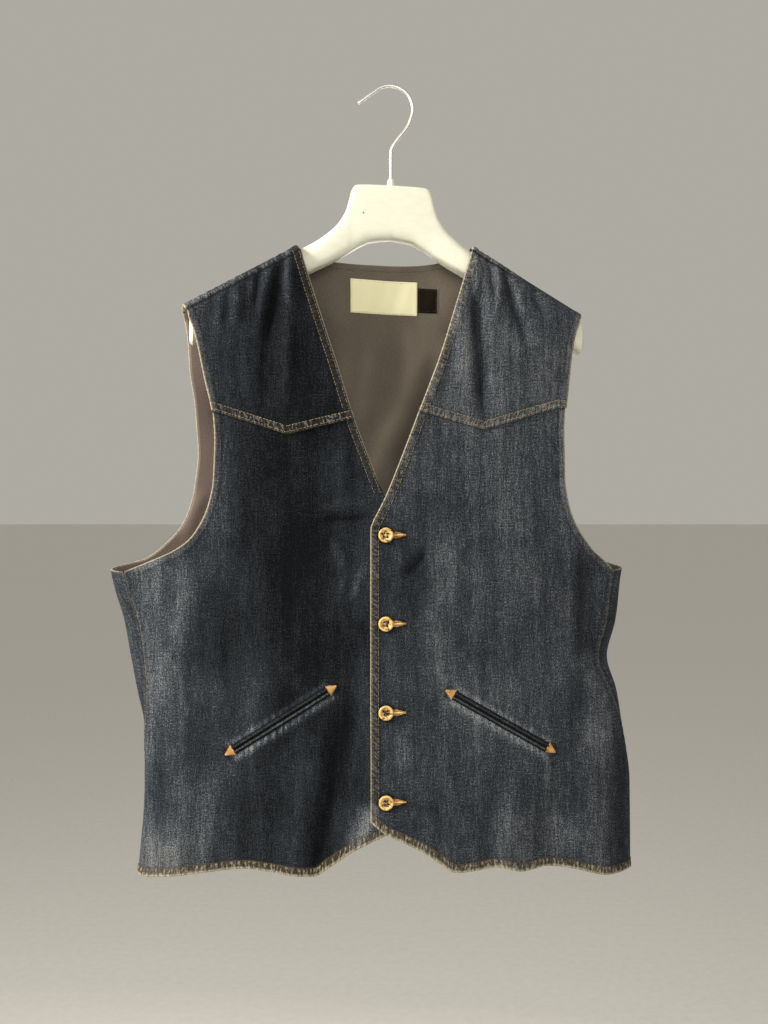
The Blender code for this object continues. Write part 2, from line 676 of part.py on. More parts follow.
def add_pockets(panels, materials, parts):
    """Two jets and two arrowhead tacks for each slanted pocket."""
    for side, word in ((1, "left"), (-1, "right")):
        tree = surface_of(panels[word])
        inner, outer, along, across = pocket_frame(side)
        length = np.linalg.norm(outer - inner) - 2 * TACK_CLEAR
        steps = TACK_CLEAR + length * np.linspace(0.0, 1.0, JET_STEPS)
        offsets = JET_WIDTH * np.linspace(0.0, 1.0, 4)
        crown = JET_CROWN * np.array((0.0, 1.0, 1.0, 0.0))
        for lip, way in (("upper", -1), ("lower", 1)):
            reach = way * (JET_GAP / 2 + offsets)[:, None]
            xs = inner[0] + along[0] * steps + across[0] * reach
            drops = inner[1] + along[1] * steps + across[1] * reach
            points = laid_grid(tree, xs, drops, -1.0, ON_CLOTH)
            points[..., 1] -= crown[:, None]
            order = slice(None, None, side * way)
            add_wall(f"jet_{word}_{lip}", points[:, order], JET_WALL, materials["denim"], parts)
        slope = math.atan2(along[1], along[0])
        for end, place_2d, roll in (("inner", inner, slope + math.pi), ("outer", outer, slope)):
            place, normal = outer_point(tree, place_2d[0], place_2d[1], -1.0)
            tack = bmesh.new()
            bmesh.ops.create_cone(
                tack, cap_ends=True, segments=3, radius1=TACK_RADIUS, radius2=TACK_RADIUS * TACK_TAPER,
                depth=TACK_WALL,
                matrix=Matrix.Translation((0.0, 0.0, TACK_WALL / 2)) @ Matrix.Rotation(-math.pi / 2, 4, "Z"),
            )
            mesh = bpy.data.meshes.new(f"tack_{word}_{end}")
            tack.to_mesh(mesh)
            tack.free()
            made = add_object(mesh.name, mesh, materials["thread"], parts)
            made.matrix_world = facing_matrix(place + normal * ON_CLOTH, normal, -roll)


def add_labels(lining, materials, parts):
    """Bare woven labels on the lining's inner face."""
    tree = surface_of(lining)
    for name, (x, drop, width, height), colour in (
        ("label_main", MAIN_LABEL, "label_cream"),
        ("label_care", CARE_LABEL, "label_brown"),
    ):
        across = x + width * np.linspace(0.5, -0.5, 8)
        down = drop + height * np.linspace(-0.5, 0.5, 4)
        xs, drops = np.meshgrid(across, down)
        drops = drops + (xs - x) * LABEL_SLOPE
        points = laid_grid(tree, xs, drops, -0.001, ON_CLOTH)
        add_wall(name, points[:, ::-1], LABEL, materials[colour], parts)


def hanger_rings():
    """Upright sections of the hanger, from its right end to its left one."""
    rows = [dict(zip(PLATE_COLUMNS, row)) for row in PLATE]
    bottom_x, bottom_drop = ARM_BOTTOM_NECK
    for x in np.linspace(bottom_x, HANGER_END, ARM_SECTIONS):
        out = (x - bottom_x) / (HANGER_END - bottom_x)
        rows.append({
            "x": x,
            "top": float(shoulder_drop(x)) + SHOULDER_REST,
            "bottom": bottom_drop + (ARM_BOTTOM_END - bottom_drop) * out,
            "depth": ARM_DEPTH_NECK + (ARM_DEPTH_END - ARM_DEPTH_NECK) * out,
            "power": ARM_POWER,
        })
    mirrored = [{**row, "x": -row["x"]} for row in rows[:0:-1]]
    return mirrored + rows


def add_hanger(materials, parts):
    """Moulded body lofted through its sections, the collar on it and the wire hook."""
    turns = np.radians(360 / RING_POINTS * (np.arange(RING_POINTS) + 0.5))
    body = bmesh.new()
    rings = []
    for row in hanger_rings():
        power = 2 / row["power"]
        y = row["depth"] * np.sign(np.cos(turns)) * np.abs(np.cos(turns)) ** power
        rise = np.sign(np.sin(turns)) * np.abs(np.sin(turns)) ** power
        middle, half = (row["top"] + row["bottom"]) / 2, (row["bottom"] - row["top"]) / 2
        rings.append([body.verts.new((row["x"], b, -middle + half * c)) for b, c in zip(y, rise)])
    for ring, after in zip(rings, rings[1:]):
        for i in range(RING_POINTS):
            j = (i + 1) % RING_POINTS
            body.faces.new((ring[i], ring[j], after[j], after[i]))
    body.faces.new(rings[0][::-1])
    body.faces.new(rings[-1])
    bmesh.ops.recalc_face_normals(body, faces=body.faces)
    mesh = bpy.data.meshes.new("hanger_body")
    body.to_mesh(mesh)
    body.free()
    mesh.shade_smooth()
    mesh.set_sharp_from_angle(angle=SHARP_ANGLE)
    hanger = bpy.data.objects.new("hanger", None)
    parts.objects.link(hanger)
    pieces = [
        add_object("hanger_body", mesh, materials["plastic"], parts),
        add_collar(materials, parts),
        add_hook(materials, parts),
    ]
    for piece in pieces:
        piece.parent = hanger
    hanger.rotation_euler.z = math.radians(HANGER_TURN)


def add_collar(materials, parts):
    """Moulded ring round the foot of the hook."""
    bore = WIRE_RADIUS + SEAM
    low = -PLATE[0][1] + SEAM
    top = low + COLLAR_HEIGHT
    waist, lip = (COLLAR_RADIUS * share for share in COLLAR_TAPER)
    profile = ((bore, low), (COLLAR_RADIUS, low), (waist, top - COLLAR_BEVEL), (lip, top), (bore, top))
    return turned_object("hanger_collar", profile, COLLAR_STEPS, materials["plastic"], parts)


def hook_path():
    """Centre line of the hook: stem, lean to one side, crown and open tail, in the XZ plane."""
    foot = -PLATE[0][1] + 2 * SEAM
    centre_z = WIRE_RADIUS - HOOK_RADIUS
    start, end = (math.radians(angle) for angle in HOOK_ARC)
    turns = np.linspace(start, end, 22)
    arc = [(HOOK_RADIUS * math.cos(turn), centre_z + HOOK_RADIUS * math.sin(turn)) for turn in turns]
    (first_x, first_z), (last_x, last_z) = arc[0], arc[-1]
    reach = np.linspace(0, HOOK_TAIL, 4)[1:]
    tail = [(last_x - math.sin(end) * step, last_z + math.cos(end) * step) for step in reach]
    rise = np.linspace(0.0, 1.0, 9)[:-1]
    lean_x = first_x * ease(rise * 0.9 + 0.05)
    lean_z = -STEM_BEND_DROP + (first_z + STEM_BEND_DROP) * rise
    stem = [(0.0, foot), (0.0, -STEM_BEND_DROP - STEM_EASE)]
    return stem + list(zip(lean_x, lean_z)) + arc + tail


def add_hook(materials, parts):
    """Round wire along the hook's centre line."""
    path = hook_path()
    curve = bpy.data.curves.new("hanger_hook", "CURVE")
    curve.dimensions = "3D"
    curve.bevel_depth = WIRE_RADIUS
    curve.bevel_resolution = 2
    curve.use_fill_caps = True
    line = curve.splines.new("POLY")
    line.points.add(len(path) - 1)
    for point, (x, z) in zip(line.points, path):
        point.co = (x, 0.0, z, 1.0)
    return add_object("hanger_hook", curve, materials["steel"], parts)


def main():
    for old in list(bpy.data.objects):
        bpy.data.objects.remove(old)
    parts = collection_of("denim_vest_on_hanger")
    cutters = collection_of("cutters")
    materials = {name: material_of(name) for name in COLOURS}
    panels = add_panels(materials, parts)
    add_buttons(panels["left"], materials, parts, cutters)
    add_pockets(panels, materials, parts)
    add_labels(panels["lining"], materials, parts)
    add_hanger(materials, parts)


main()
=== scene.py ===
"""Looks of a western denim vest on its hanger: cloth, sewing, buttons, hanger, light and camera.

Metres, +Z up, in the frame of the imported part: +X runs to the wearer's left, the front faces -Y, and "drop"
is the distance below the underside of the hook's crown.
"""

import logging
import math
from dataclasses import dataclass, field, replace
from enum import Enum, auto
from typing import Any, Iterable, Sequence

import bpy
import numpy as np
from mathutils import Matrix, Vector
from mathutils.bvhtree import BVHTree

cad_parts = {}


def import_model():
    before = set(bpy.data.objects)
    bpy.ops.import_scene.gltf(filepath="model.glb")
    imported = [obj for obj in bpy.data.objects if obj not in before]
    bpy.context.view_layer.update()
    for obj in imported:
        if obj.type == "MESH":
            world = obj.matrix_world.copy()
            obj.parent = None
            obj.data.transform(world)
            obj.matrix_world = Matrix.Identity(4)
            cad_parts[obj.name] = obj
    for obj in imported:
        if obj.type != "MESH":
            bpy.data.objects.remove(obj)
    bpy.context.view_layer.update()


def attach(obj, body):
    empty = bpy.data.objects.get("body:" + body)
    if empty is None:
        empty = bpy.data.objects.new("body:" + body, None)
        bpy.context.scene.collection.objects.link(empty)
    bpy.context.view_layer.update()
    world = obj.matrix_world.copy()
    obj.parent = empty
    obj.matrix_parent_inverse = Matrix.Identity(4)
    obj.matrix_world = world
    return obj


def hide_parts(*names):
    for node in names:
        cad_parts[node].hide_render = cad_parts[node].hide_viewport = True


log = logging.getLogger("denim_vest")

Array = np.ndarray
Pair = tuple[float, float]
Colour = tuple[float, float, float]
Table = tuple[tuple[float, ...], ...]
Piece = bpy.types.Object
Finish = bpy.types.Material

BODY = "root"
UV_NAME = "cloth"
WEAR_NAME = "wear"
EDGE_NAME = "edge"
MM = 0.001
FAR_FROM_EDGE = 3.0
LEAST_SINE = 0.12
BEFORE_VEST = -1.0
BEFORE_LINING = -0.001
# Places of the four numbers of the wear paint: worn edges, fading with painted light and shade, brown tint
# (on the lining, a painted pinkish light), and painted shade (on the lining, a smudge)
WORN, FADE_AND_LIGHT, BROWN, SHADE = range(4)


class Choice(Enum):
    """A choice among options that are also words in the names of pieces."""

    @property
    def word(self) -> str:
        """The option as a word in a name."""
        return self.name.lower()


class Side(Choice):
    """The wearer's two sides, as the sign of X."""

    LEFT = 1
    RIGHT = -1


class Lip(Choice):
    """The two lips of a pocket, as the way down across it."""

    UPPER = -1
    LOWER = 1


class End(Choice):
    """The two ends of a pocket, as the way along it."""

    INNER = -1
    OUTER = 1


class Look(Choice):
    """The finishes of the cloth, the threads, the hanger and the studio."""

    DENIM = auto()
    REVERSE = auto()
    SLIT = auto()
    LINING = auto()
    TAN = auto()
    GOLD = auto()
    LIGHT = auto()
    STRAW = auto()
    AMBER = auto()
    CREAM = auto()
    BROWN = auto()
    DARK = auto()
    HORN = auto()
    LABEL_CREAM = auto()
    LABEL_BROWN = auto()
    PLASTIC = auto()
    STEEL = auto()
    PAPER = auto()


class Brim(Enum):
    """The four sides of a grid of cloth points."""

    START = "first column"
    END = "last column"
    TOP = "first row"
    LOW = "last row"


def smooth_curve(at: Array, knots: Sequence[float], values: Sequence[float]) -> Array:
    """Cubic curve through the knots that never overshoots them, held level past both ends.

    Args:
        at: Where to read the curve.
        knots: Rising places of the given values.
        values: Value at each knot.

    Returns:
        Array of the curve's values.
    """
    knots, values = np.asarray(knots, float), np.asarray(values, float)
    at = np.clip(np.asarray(at, float), knots[0], knots[-1])
    step = np.diff(knots)
    slope = np.diff(values) / step
    tangent = np.zeros(len(knots))
    same_way = slope[:-1] * slope[1:] > 0
    mean = 2 * slope[:-1] * slope[1:] / np.where(same_way, slope[:-1] + slope[1:], 1.0)
    tangent[1:-1] = np.where(same_way, mean, 0.0)
    tangent[0], tangent[-1] = slope[0], slope[-1]
    i = np.clip(np.searchsorted(knots, at, side="right") - 1, 0, len(step) - 1)
    t = (at - knots[i]) / step[i]
    start = (1 + 2 * t) * (1 - t) ** 2 * values[i] + t * (1 - t) ** 2 * step[i] * tangent[i]
    end = t * t * (3 - 2 * t) * values[i + 1] + t * t * (t - 1) * step[i] * tangent[i + 1]
    return start + end


def table_curve(at: Array, rows: Table, column: int = 1) -> Array:
    """Smooth curve through one column of a table, against its first column."""
    table = np.asarray(rows, float)
    return smooth_curve(at, table[:, 0], table[:, column])


def ease(t: Array) -> Array:
    """0 to 1 with level ends."""
    t = np.clip(t, 0.0, 1.0)
    return t * t * (3 - 2 * t)


def bell(t: Array) -> Array:
    """Soft hump of height 1 about 0."""
    return np.exp(-np.square(t))


def ripple(along: Array, pitch: float, seed: float) -> Array:
    """Uneven waves from -1 to 1 along a seam, as gathered cloth has between its stitches.

    Args:
        along: Distance along the seam.
        pitch: Mean length of a wave.
        seed: Shifts the waves so that no two seams match.

    Returns:
        Array of wave heights.
    """
    drift = 0.9 * np.sin(along * 61.0 + seed) + 0.7 * np.sin(along * 143.0 + 2.1 * seed)
    swell = 0.62 + 0.24 * np.sin(along * 87.0 + 1.7 * seed) + 0.14 * np.sin(along * 211.0 + seed)
    return np.sin(along * 2 * np.pi / pitch + drift) * swell


def unit(vectors: Array) -> Array:
    """Vectors scaled to length 1."""
    return vectors / np.maximum(np.linalg.norm(vectors, axis=-1, keepdims=True), 1e-12)


@dataclass(frozen=True)
class Cut:
    """Cut and hang of the vest, with the driving sizes that its solids have too."""

    denim: float = 0.0016
    lining: float = 0.0010
    seam: float = 0.0003
    neck: Pair = (0.0925, 0.1706)
    tip: Pair = (0.2095, 0.2368)
    ridge_depth: Pair = (0.0185, 0.026)
    dome_drop: float = 0.012
    hang_drop: float = 0.160
    pit_drop: float = 0.508
    side_power: float = 0.77
    face_power: float = 0.85
    yoke_corners: Table = ((0.0338, 0.348), (0.1045, 0.366), (0.183, 0.342))
    closure_fade: Pair = (0.034, 0.064)
    side_hem_drop: float = 0.8215
    back_hem_drop: float = 0.797
    back_neck_drop: float = 0.183
    pit_ease_drop: float = 0.471
    dome_rows: int = 4
    lining_inset: float = 0.985
    # drop, half widths to the wearer's left and right, depths to front and back, side seam's angle
    sections: Table = (
        (0.150, 0.3340, 0.3340, 0.030, 0.030, 70.0),
        (0.290, 0.3340, 0.3340, 0.033, 0.034, 70.0),
        (0.400, 0.2960, 0.2960, 0.037, 0.038, 70.0),
        (0.470, 0.2720, 0.2760, 0.039, 0.040, 70.0),
        (0.504, 0.2525, 0.2825, 0.039, 0.040, 69.0),
        (0.561, 0.2440, 0.2690, 0.038, 0.038, 67.5),
        (0.600, 0.2340, 0.2626, 0.038, 0.037, 68.0),
        (0.635, 0.2437, 0.2563, 0.038, 0.037, 72.0),
        (0.669, 0.2490, 0.2500, 0.039, 0.038, 83.0),
        (0.730, 0.2570, 0.2500, 0.041, 0.040, 94.0),
        (0.825, 0.2576, 0.2570, 0.043, 0.042, 96.0),
    )
    # drop, turn about Z, sway along X, closure's x, armholes' shift, lift of the left front
    hang: Table = (
        (0.150, 10.0, -0.0062, 0.0, 0.0, 0.0035),
        (0.290, 10.0, -0.0062, -0.0025, 0.0025, 0.0035),
        (0.348, 9.0, -0.0060, -0.0044, 0.0040, 0.0040),
        (0.400, 7.2, -0.0055, -0.0043, 0.0035, 0.0030),
        (0.470, 5.0, -0.0060, -0.0028, 0.0020, 0.0010),
        (0.508, 4.0, -0.0060, -0.0021, 0.0, 0.0),
        (0.561, 3.2, -0.0060, -0.0015, 0.0, 0.0),
        (0.635, 2.2, -0.0060, -0.0007, 0.0, 0.0),
        (0.730, 1.5, -0.0060, 0.0, 0.0, 0.0),
        (0.825, 1.3, -0.0060, 0.0, 0.0, 0.0015),
    )
    # drop, x of the neckline and closing edge
    neckline: Table = (
        (0.1706, 0.0925), (0.225, 0.0752), (0.280, 0.0575), (0.347, 0.0340), (0.391, 0.0172),
        (0.434, -0.0003), (0.460, -0.0133), (0.4655, -0.0153), (0.9, -0.0153),
    )
    # drop, x of the front armhole
    front_armhole: Table = (
        (0.2368, 0.2095), (0.265, 0.199), (0.317, 0.189), (0.345, 0.183), (0.374, 0.181), (0.415, 0.1815),
        (0.435, 0.1845), (0.450, 0.189), (0.471, 0.2005), (0.486, 0.216), (0.497, 0.235), (0.508, 0.2545),
    )
    # drop, degrees of the back armhole from centre back
    back_armhole: Table = (
        (0.2368, 33.1), (0.279, 31.8), (0.318, 31.6), (0.372, 34.0), (0.418, 38.3), (0.4537, 44.3),
        (0.4785, 51.5), (0.4968, 60.5), (0.5020, 74.0), (0.5055, 91.0), (0.508, 111.0),
    )
    # x from the closure, drop of the front hem
    front_hem: Table = (
        (-0.0153, 0.7612), (0.0, 0.774), (0.0165, 0.7815), (0.030, 0.788), (0.041, 0.7945), (0.055, 0.8045),
        (0.0715, 0.8140), (0.088, 0.8125), (0.140, 0.808), (0.190, 0.8125), (0.245, 0.8215),
    )
    # x from the closure, how much lower the left front's hem waves there
    left_hem_wave: Table = (
        (0.090, 0.0), (0.112, -0.001), (0.139, 0.005), (0.166, 0.0008), (0.184, 0.0008),
        (0.226, 0.004), (0.250, 0.0),
    )
    # Rows of the fronts: drop at the inner and the outer edge, and steps to the next stop
    front_stops: Table = (
        (0.1826, 0.2488, 5), (0.336, 0.330, 2), (0.348, 0.342, 4), (0.430, 0.450, 9), (0.500, 0.508, 11),
        (0.7392, 0.7995, 1), (0.7612, 0.8215, 0),
    )
    # Rows of the back: drop at its middle and its outer edges, and steps to the next stop
    back_stops: Table = (
        (0.320, 0.320, 3), (0.430, 0.430, 3), (0.490, 0.480, 3), (0.530, 0.500, 5), (0.580, 0.508, 11),
        (0.7995, 0.7995, 1), (0.8215, 0.8215, 0),
    )
    back_first_steps: int = 3


@dataclass(frozen=True)
class Folds:
    """Soft ridges (rise above 0) and troughs, each along a line from top to low.

    Columns, in millimetres: x and drop of the top, x and drop of the low end, width, rise.
    """

    end_share: float = 0.3
    front: Table = (
        # Largest folds, close to those of the solids
        (92, 190, 98, 350, 8.5, -3.5), (78, 205, 79, 325, 10, 2.5), (120, 196, 153, 275, 9, -2.5),
        (-113, 190, -131, 350, 10, -3.5), (-102, 180, -105, 345, 9, 3), (38, 470, 32, 600, 10, -2.5),
        (204, 480, 214, 610, 12, -7), (200, 560, 232, 730, 22, 4.5), (-185, 480, -236, 650, 16, 3.5),
        (-95, 440, -110, 640, 42, -3), (-30, 600, -82, 850, 15, -4.5), (-66, 650, -101, 880, 17, 4.5),
        (-148, 700, -145, 900, 30, -4.8), (-205, 680, -218, 900, 20, 5), (130, 720, 135, 900, 15, 4),
        (170, 700, 180, 900, 17, -5.5), (220, 700, 226, 900, 16, 4),
        # Pleats below the right shoulder seam
        (-103.5, 172, -104, 240, 2.7, 3.4), (-106.8, 174, -126.2, 284, 4.4, -3),
        (-120.5, 181, -134.5, 262, 4.1, 2.8), (-131, 188, -140, 246, 3.4, -1.6),
        (-138.5, 192, -141.5, 246, 3.4, 2.2), (-146, 195, -149.5, 266, 4.3, -1.7),
        (-153, 198, -157.5, 268, 4.9, 2.3), (-162, 205, -165.5, 266, 4.3, -1.1),
        (-170, 209, -175, 274, 5.2, 1.7), (-105, 300, -105, 372, 4, 0.9),
        # Pleats below the left shoulder seam
        (94.5, 172, 92.5, 230, 3.6, 3), (104.5, 168, 116, 232, 3.8, -3.4),
        (112.1, 165, 120.2, 242, 4.1, 3.2), (116, 170, 150, 280, 4.4, -4),
        (128.3, 173, 146.4, 252, 5.2, 2.4), (143.1, 180, 172.7, 252, 5.2, -2.4),
        (155.1, 185, 180.5, 262, 6.2, 1.8), (89.5, 205, 99, 362, 5.5, -3), (100, 330, 99.5, 375, 5, -1.2),
        # Creases of the left front
        (42.5, 483.5, 14, 517, 4.8, -2.4), (-2, 735.5, 60, 757, 5.5, -1.4), (-2, 661.5, 16, 668, 4, -1),
        (50, 560, 40, 640, 8, -1.2), (56, 520, 48, 600, 8, 1.1), (185, 470, 208, 560, 7, 1.6),
        (30, 690, 70, 800, 9, -1.3), (55, 690, 90, 800, 8, 1.1), (100, 730, 105, 840, 9, -1.4),
        (195, 640, 200, 760, 10, -1.3),
        # Creases of the right front
        (-80, 457, -10, 452.5, 4.2, -2.2), (-77, 442.5, -14, 438.5, 4.5, 1.6),
        (-58, 468, -42, 515, 4.5, 1.4), (-42, 508, -52, 545, 4.5, 1.2), (-20, 495, -40, 545, 3.5, 1.4),
        (-150, 520, -155, 650, 11, 1.6), (-172, 500, -190, 640, 9, -1.4), (-205, 520, -218, 620, 7, 1.2),
        (-48, 610, -22, 690, 8, -1.2), (-20, 640, -56, 800, 7, 1.2), (-45, 700, -72, 840, 7, -1.5),
        (-120, 730, -127, 850, 9, 1.3), (-180, 700, -182, 840, 10, 1.4), (-232, 640, -235, 780, 8, -1.3),
    )
    back: Table = (
        # Largest folds, close to those of the solids
        (120, 240, 95, 480, 24, 4), (-130, 240, -105, 500, 26, -4), (60, 520, 75, 900, 30, -5),
        (-50, 560, -60, 900, 28, 5), (165, 600, 170, 900, 26, 5.5), (-160, 620, -170, 900, 24, -5),
        # Creases
        (105, 190, 110, 275, 6, -1.3), (122, 200, 131, 270, 5.5, 1.3), (145, 210, 152, 265, 5.5, -1),
        (-104, 190, -107, 280, 6, 1.4), (-118, 195, -125, 265, 5.5, -1.3), (-138, 207, -146, 270, 6, 1.1),
        (30, 260, 10, 460, 14, -1.4), (-45, 300, -30, 520, 16, 1.4), (190, 470, 215, 600, 9, -2),
        (-195, 480, -225, 610, 9, -1.8), (115, 560, 120, 760, 12, 1.4), (-105, 600, -110, 830, 11, -1.5),
        (15, 640, 8, 840, 13, 1.2), (-205, 660, -212, 850, 11, 1.6), (205, 680, 212, 860, 11, -1.5),
    )
    # Wrinkles of the lining, towards the inside
    lining: Table = (
        (52, 255, 4, 390, 10, 2.6), (30, 240, 34, 330, 8, 1.4), (-40, 250, -52, 420, 13, 2),
        (-12, 255, -20, 360, 8, 1.2), (20, 330, -30, 460, 12, 1.8), (72, 250, 60, 330, 8, 1.6),
        (-75, 240, -70, 360, 9, 1.6), (-150, 330, -165, 470, 8, 2.2), (-165, 360, -150, 420, 7, 1.4),
        (-190, 420, -215, 480, 8, 1.6), (150, 300, 140, 450, 11, 1.8), (100, 520, 90, 760, 16, 2.2),
        (-100, 520, -110, 760, 16, 2.2), (0, 500, 10, 780, 18, 1.8),
    )


class VestForm:
    """The surface that the cloth's inner face follows, by angle round the body and by drop."""

    def __init__(self, cut: Cut, folds: Folds) -> None:
        """Keeps the cut and the folds."""
        self.cut = cut
        self.folds = folds

    def section(self, column: int, drop: Array) -> Array:
        """One column of the body sections at each drop."""
        return table_curve(drop, self.cut.sections, column)

    def hang(self, column: int, drop: Array) -> Array:
        """One column of the way the vest hangs at each drop."""
        return table_curve(drop, self.cut.hang, column)

    def sway(self, drop: Array) -> Array:
        """Shift of the vest along X at each drop."""
        return self.hang(2, drop)

    def closure(self, drop: Array) -> Array:
        """The x of the closure at each drop."""
        return self.hang(3, drop)

    def shoulder_drop(self, x: Array) -> Array:
        """Drop of the shoulder ridge, which lies on the hanger."""
        (neck_x, neck_drop), (tip_x, tip_drop) = self.cut.neck, self.cut.tip
        return neck_drop + (np.abs(x) - neck_x) * (tip_drop - neck_drop) / (tip_x - neck_x)

    def half_width(self, x: Array, drop: Array) -> Array:
        """Half width of the body on the side of x."""
        return np.where(np.asarray(x) >= 0, self.section(1, drop), self.section(2, drop))

    def angle_at(self, x: Array, drop: Array) -> Array:
        """Angle from centre front of a point x across the form's front."""
        share = np.clip(np.abs(x) / self.half_width(x, drop), 0.0, 1.0)
        return np.sign(x) * np.arcsin(share ** (1 / self.cut.side_power))

    def fold_rise(self, rows: Table, x: Array, drop: Array) -> Array:
        """Rise of the folds above the smooth form.

        Args:
            rows: Table of folds, or of stretches of painted light and shade and of fading.
            x: Distance from the closure or the centre back.
            drop: Drop of each point.

        Returns:
            Array of rises, in the table's own measure.
        """
        rise = np.zeros(np.shape(x))
        for row in rows:
            x_top, drop_top, x_low, drop_low, width = (MM * size for size in row[:5])
            way_x, way_drop = x_low - x_top, drop_low - drop_top
            length = math.hypot(way_x, way_drop)
            along = ((x - x_top) * way_x + (drop - drop_top) * way_drop) / length ** 2
            across = ((x - x_top) * way_drop - (drop - drop_top) * way_x) / length / width
            ends = ease(along / self.folds.end_share) * ease((1 - along) / self.folds.end_share)
            rise = rise + row[5] * bell(across) * ends
        return rise

    def across(self, angle: Array, drop: Array) -> Array:
        """Distance x from the closure of a point of the form, before turn and sway."""
        sine = np.sin(angle)
        return self.half_width(sine, drop) * np.sign(sine) * np.abs(sine) ** self.cut.side_power

    def points(self, angle: Array, drop: Array) -> Array:
        """Points of the cloth's inner face.

        Args:
            angle: Angle round the body from centre front, in radians.
            drop: Drop of each point.

        Returns:
            Array of points, one triple for each angle and drop.
        """
        cut = self.cut
        angle, drop = np.broadcast_arrays(np.asarray(angle, float), np.asarray(drop, float))
        cosine = np.cos(angle)
        x = self.across(angle, drop)
        facing = np.sign(cosine) * np.abs(cosine) ** cut.face_power
        below = np.maximum(drop - self.shoulder_drop(x + self.sway(drop)), 0.0)
        out_along = np.clip((np.abs(x) - cut.neck[0]) / (cut.tip[0] - cut.neck[0]), 0.0, 1.0)
        ridge = cut.ridge_depth[0] + (cut.ridge_depth[1] - cut.ridge_depth[0]) * out_along
        dome = np.sqrt(1 - (1 - np.minimum(below / cut.dome_drop, 1.0)) ** 2)
        front = cosine >= 0
        full = np.where(front, self.section(3, drop), self.section(4, drop))
        ahead, behind = (self.fold_rise(rows, x, drop) for rows in (self.folds.front, self.folds.back))
        rise = MM * np.where(front, ahead, behind)
        hung = ease(below / cut.hang_drop)
        depth = ridge * dome + (full - ridge) * hung + rise * ease(below / cut.dome_drop / 2)
        y = -facing * depth
        turn = np.radians(self.hang(1, drop))
        x = x + self.sway(drop)
        across, back = x * np.cos(turn) - y * np.sin(turn), x * np.sin(turn) + y * np.cos(turn)
        return np.stack((across, back, -drop), axis=-1)

    def button_x(self, drop: float) -> float:
        """The x of a button at a drop, on the closure."""
        return float(self.points(self.angle_at(self.closure(drop), drop), drop)[0])

    def hung_drop(self, side: Side, drop: Array) -> Array:
        """Where a drop of the pattern hangs on one front."""
        return drop - side.value * self.hang(5, drop)

    def front_inner(self, side: Side, drop: Array) -> Array:
        """Angle of a front's inner edge: its neckline, then its closing edge."""
        x = side.value * table_curve(drop, self.cut.neckline) + self.closure(drop)
        return self.angle_at(x, self.hung_drop(side, drop))

    def front_outer(self, side: Side, drop: Array) -> Array:
        """Angle of a front's outer edge: its armhole, then the side seam.

        Args:
            side: The wearer's side.
            drop: Drop of each point.

        Returns:
            Array of angles.
        """
        cut = self.cut
        nominal = table_curve(drop, cut.front_armhole)
        seam_sine = np.sin(np.radians(self.section(5, cut.pit_drop)))
        seam_x = self.half_width(side.value, cut.pit_drop) * seam_sine ** cut.side_power
        late = np.clip((drop - cut.pit_ease_drop) / (cut.pit_drop - cut.pit_ease_drop), 0.0, 1.0) ** 2
        x = side.value * (nominal + (seam_x - cut.front_armhole[-1][1]) * late) + self.hang(4, drop)
        hung = self.hung_drop(side, drop)
        seam = side.value * np.radians(self.section(5, hung))
        return np.where(drop < cut.pit_drop, self.angle_at(x, hung), seam)

    def closure_lift(self, from_closure: Array) -> Array:
        """How far the overlapping front stands off near the closure."""
        start, end = self.cut.closure_fade
        return (self.cut.denim + self.cut.seam) * (1 - ease((from_closure - start) / (end - start)))

    def dome_drops(self, finer: int) -> Array:
        """Drops below the ridge of the rows that turn over the shoulder."""
        turns = np.linspace(0.0, np.pi / 2, self.cut.dome_rows * finer + 1)
        return self.cut.dome_drop * (1 - np.cos(turns))[:-1]

    def front_rows(self) -> tuple[int, int, int, int]:
        """Coarse row numbers of the lap, the yoke's edge, the pit and the hem."""
        rows = self.cut.dome_rows + np.cumsum([0] + [int(stop[-1]) for stop in self.cut.front_stops])
        return int(rows[1]), int(rows[2]), int(rows[4]), int(rows[6])

    def front_grid(self, side: Side, finer: int, columns: int) -> tuple[Array, Array, Array]:
        """Angles, drops and distances from the closure of one front, with rows down from the shoulder.

        Args:
            side: The wearer's side.
            finer: Rows for each row of the solids.
            columns: Columns from the inner to the outer edge.

        Returns:
            Three arrays of rows by columns.
        """
        cut = self.cut
        lap_row, edge_row, pit_row, last_row = self.front_rows()
        dome = self.dome_drops(finer)[:, None]
        drops = np.concatenate((dome + (cut.neck[1], cut.tip[1]), stretch(cut.front_stops, finer)))
        inner, outer = drops[:, :1], drops[:, 1:]
        share = np.linspace(0.0, 1.0, columns)
        start = self.front_inner(side, inner)
        angle = start + (self.front_outer(side, outer) - start) * share
        level = inner + (outer - inner) * share
        row = np.arange(len(drops))[:, None] / finer
        x = self.across(angle, self.hung_drop(side, level))
        from_closure = side.value * (x - self.closure(level))
        first = cut.dome_rows * finer
        sway = self.sway(cut.tip[1])
        corners = np.asarray(cut.yoke_corners)
        ridge_line = self.shoulder_drop(x[first] + sway) + cut.dome_drop
        yoke_line = np.interp(from_closure[edge_row * finer], corners[:, 0], corners[:, 1])
        hem_line = table_curve(from_closure[last_row * finer], cut.front_hem)
        if side is Side.LEFT:
            hem_line = hem_line + table_curve(from_closure[last_row * finer], cut.left_hem_wave)
        ridge = bow(ridge_line, level[first], share)
        seam = bow(yoke_line, level[edge_row * finer], share)
        hem = bow(hem_line, level[last_row * finer], share)
        level = level + ridge * np.interp(row, (cut.dome_rows, lap_row), (1, 0))
        level = level + seam * np.interp(row, (cut.dome_rows, lap_row, edge_row, pit_row), (0, 1, 1, 0))
        level = level + hem * np.interp(row, (pit_row, last_row), (0, 1)) ** 1.5
        drop = self.hung_drop(side, level)
        drop[:first] = self.shoulder_drop(x[:first] + sway) + dome
        return angle, drop, from_closure

